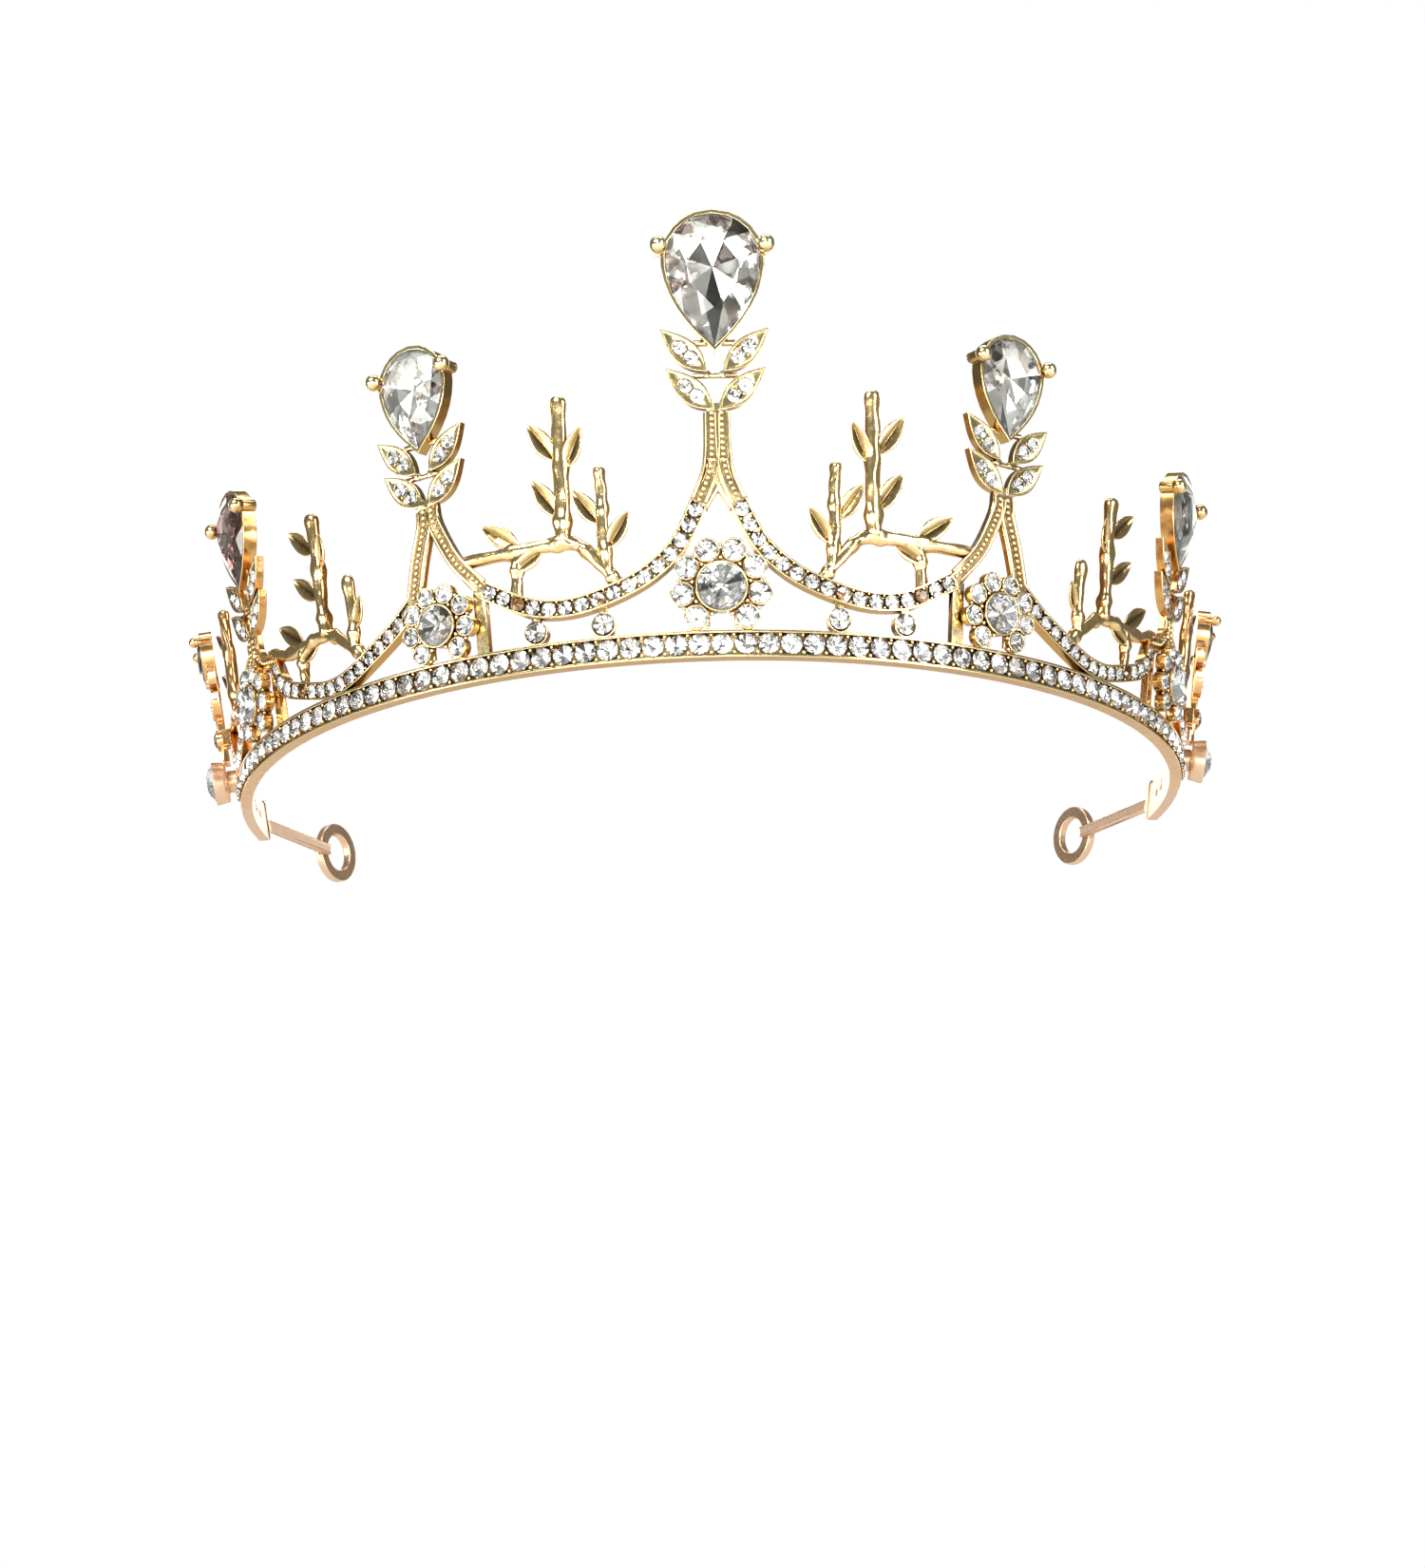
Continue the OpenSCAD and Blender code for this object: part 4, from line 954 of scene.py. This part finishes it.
def inner_sprig(s):
    a, f = 0.5 * head_a(HEADS["inner"]) + 0.35, head_a(HEADS["inner"])
    s.twig([[a - 7, 10.4], [a - 5.2, 12.6], [a - 1.8, 16.3], [a + 1.4, 16.9], [a + 7, 16.7],
            [f - 4, 16.5]], TWIG_D, taper=1)
    s.twig([[a + 0.5, 16.6], [a + 0.2, 22], [a + 0.2, 29], [a, 36.9]], STEM_D)
    s.twig([[a - 5.4, 11.9], [a - 5, 17], [a - 5, 22], [a - 4.8, 26.6]], TWIG_D, TWIG_N + 0.05)
    for q in [[a + 0.9, 28.3, 57, 1, 0.9], [a - 0.5, 27, 118, 0.95, 1],
              [a + 0.8, 20.6, 57, 1, 0.9], [a - 4.5, 19, 55, 0.95, 0.8],
              [a - 5.6, 15.7, 126, 0.9, 0.9], [a + 6.6, 17.2, 34, 1, 0.8],
              [a + 3.4, 16.2, 332, 0.9, 0.5]]:
        s.leaf(*q)
    s.twig([[a + 7, 16.5], [a + 7.3, 12.8], [a + 7.4, 9.2]], TWIG_D)


def outer_sprig(s):
    a, f = 0.5 * (head_a(HEADS["inner"]) + head_a(HEADS["outer"])), head_a(HEADS["outer"])
    s.twig([[a - 7.6, 6.9], [a - 4.6, 9.6], [a - 0.4, 12.4], [a + 4, 12.6], [a + 9, 12.4],
            [f - 4.6, 14.4]], TWIG_D, taper=1)
    s.twig([[a + 0.3, 12.2], [a + 0.7, 17], [a + 0.5, 23.5], [a + 0.7, 30.2]], STEM_D)
    s.twig([[a - 5.2, 9], [a - 5.6, 13], [a - 5.4, 19.7]], TWIG_D, TWIG_N + 0.05)
    for q in [[a + 1.2, 24.6, 45, 0.95, 0.9], [a - 0.1, 21.8, 110, 0.85, 1],
              [a + 1.2, 18, 43, 0.95, 0.9], [a - 5.9, 11.8, 122, 0.8, 0.9],
              [a + 5.8, 12.9, 36, 1, 0.8], [a + 2.4, 11.9, 338, 0.85, 0.5]]:
        s.leaf(*q)
    s.twig([[a + 6.4, 12.4], [a + 6.7, 9], [a + 6.8, 5.6]], TWIG_D)


def end_sprig(s):
    col = math.radians(COL_ANG) * BAND_R
    a = 0.5 * (head_a(HEADS["outer"]) + col) + 1
    s.twig([[a - 8, 7.2], [a - 4.4, 10], [a - 0.6, 12], [a + 4, 12.4], [col - 1, 13.4]], TWIG_D,
           taper=1)
    s.twig([[a + 0.2, 11.9], [a + 0.4, 17], [a, 23], [a + 0.3, 28.2]], STEM_D)
    for q in [[a + 0.9, 21.6, 52, 0.85, 0.9], [a - 0.5, 20, 122, 0.9, 1],
              [a + 0.8, 15.6, 46, 0.85, 0.9], [a - 4.8, 10.2, 128, 0.8, 0.9]]:
        s.leaf(*q)


MAKERS = {"inner": inner_sprig, "outer": outer_sprig, "end": end_sprig}
for side, sign in (("right", 1), ("left", -1)):
    for k, (key, maker) in enumerate(MAKERS.items()):
        sprig = Sprig(sign, 40 + k)
        maker(sprig)
        sprig.finish(f"{side}_{key}_twigs", f"{side}_{key}_sprig")

# --- floor, light and camera
FLOOR_Z, FLOOR_HALF = -0.22, 3
PAPER_TONE = (0.84, 0.84, 0.83, 1)
corners = [(x * FLOOR_HALF, y * FLOOR_HALF, FLOOR_Z) for x, y in ((-1, -1), (1, -1), (1, 1), (-1, 1))]
floor = mesh_piece("studio_floor", corners, [(0, 1, 2, 3)])
pale = bpy.data.materials.new("studio_paper")
pale.use_nodes = True
paper = pale.node_tree
matt = paper.nodes["Principled BSDF"]
matt.inputs["Base Color"].default_value = (0.9, 0.9, 0.89, 1)
matt.inputs["Roughness"].default_value = 0.8
# the camera sees one even pale tone, and other rays meet matt paper
seen = put(paper, "ShaderNodeEmission", {"Color": PAPER_TONE})
sight = paper.nodes.new("ShaderNodeLightPath")
blend = put(paper, "ShaderNodeMixShader", {"Fac": sight.outputs["Is Camera Ray"],
                                           1: matt.outputs[0], 2: seen.outputs[0]})
paper.links.new(blend.outputs[0], paper.nodes["Material Output"].inputs["Surface"])
floor.data.materials.append(pale)

world = bpy.data.worlds.new("studio")
bpy.context.scene.world = world
world.use_nodes = True
wt = world.node_tree
path = wt.nodes.new("ShaderNodeLightPath")
# a white backdrop in a grey room, which the metal and the stones reflect
ROOM_GREY, BACKDROP = (0.19, 0.19, 0.185, 1), (1, 1, 1, 1)
glow = mix_color(wt, path.outputs["Is Camera Ray"], ROOM_GREY, BACKDROP)
wt.links.new(glow, wt.nodes["Background"].inputs["Color"])


HEART = Vector((0, 0.04, 0.03))


def soft_box(name, at, size, power):
    """A rectangular light that faces the middle of the tiara and isn't seen itself."""
    data = bpy.data.lights.new(name, "AREA")
    data.shape = "RECTANGLE"
    data.size, data.size_y = size
    data.energy = power
    obj = link(bpy.data.objects.new(name, data))
    obj.location = at
    obj.rotation_euler = (HEART - Vector(at)).to_track_quat("-Z", "Y").to_euler()
    obj.visible_camera = False


soft_box("key_box", (-0.45, -0.75, 0.6), (0.6, 0.45), 7.4)
soft_box("fill_box", (0.7, -0.7, 0.3), (0.35, 0.55), 5)
soft_box("low_box", (-0.2, -0.75, -0.16), (0.7, 0.14), 4)
soft_box("low_side_box", (0.55, -0.5, -0.16), (0.3, 0.1), 2)
soft_box("low_left_box", (-0.65, -0.25, -0.1), (0.25, 0.2), 1.8)
soft_box("back_box", (0, 1.0, 0.35), (1.6, 0.7), 8)
soft_box("top_box", (0, 0.1, 1.0), (0.8, 0.3), 4)

# camera: 450 mm from the middle of the horseshoe, looking up from below the band
RISE, TURN, ROLL = 0.285, 0.02966, -0.03135
DIST, LENS, SENSOR = 0.45, 66.29363, 36
# in shares of the frame's height
SHIFT_X, SHIFT_Y = 0.00054545455, 0.01770303
cam = bpy.data.cameras.new("view")
camera = link(bpy.data.objects.new("view", cam))
look = Vector((0, math.cos(RISE), math.sin(RISE)))
up = Vector((0, -math.sin(RISE), math.cos(RISE)))
right = look.cross(up)
spin = Matrix.Rotation(-TURN, 3, "Z")
tilt = Matrix.Rotation(ROLL, 3, "Z")
axes = spin @ Matrix((right, up, -look)).transposed() @ tilt
place = spin @ Vector((0, -DIST * math.cos(RISE), -DIST * math.sin(RISE)))
camera.matrix_world = Matrix.Translation(place + Vector((0, MID_Y * MM, 0))) @ axes.to_4x4()
cam.sensor_fit = "VERTICAL"
cam.sensor_height = SENSOR
cam.lens = LENS
cam.shift_x = SHIFT_X
cam.shift_y = SHIFT_Y
cam.clip_start = 0.01
cam.dof.use_dof = False
bpy.context.scene.camera = camera
bpy.context.scene.view_settings.view_transform = "Standard"
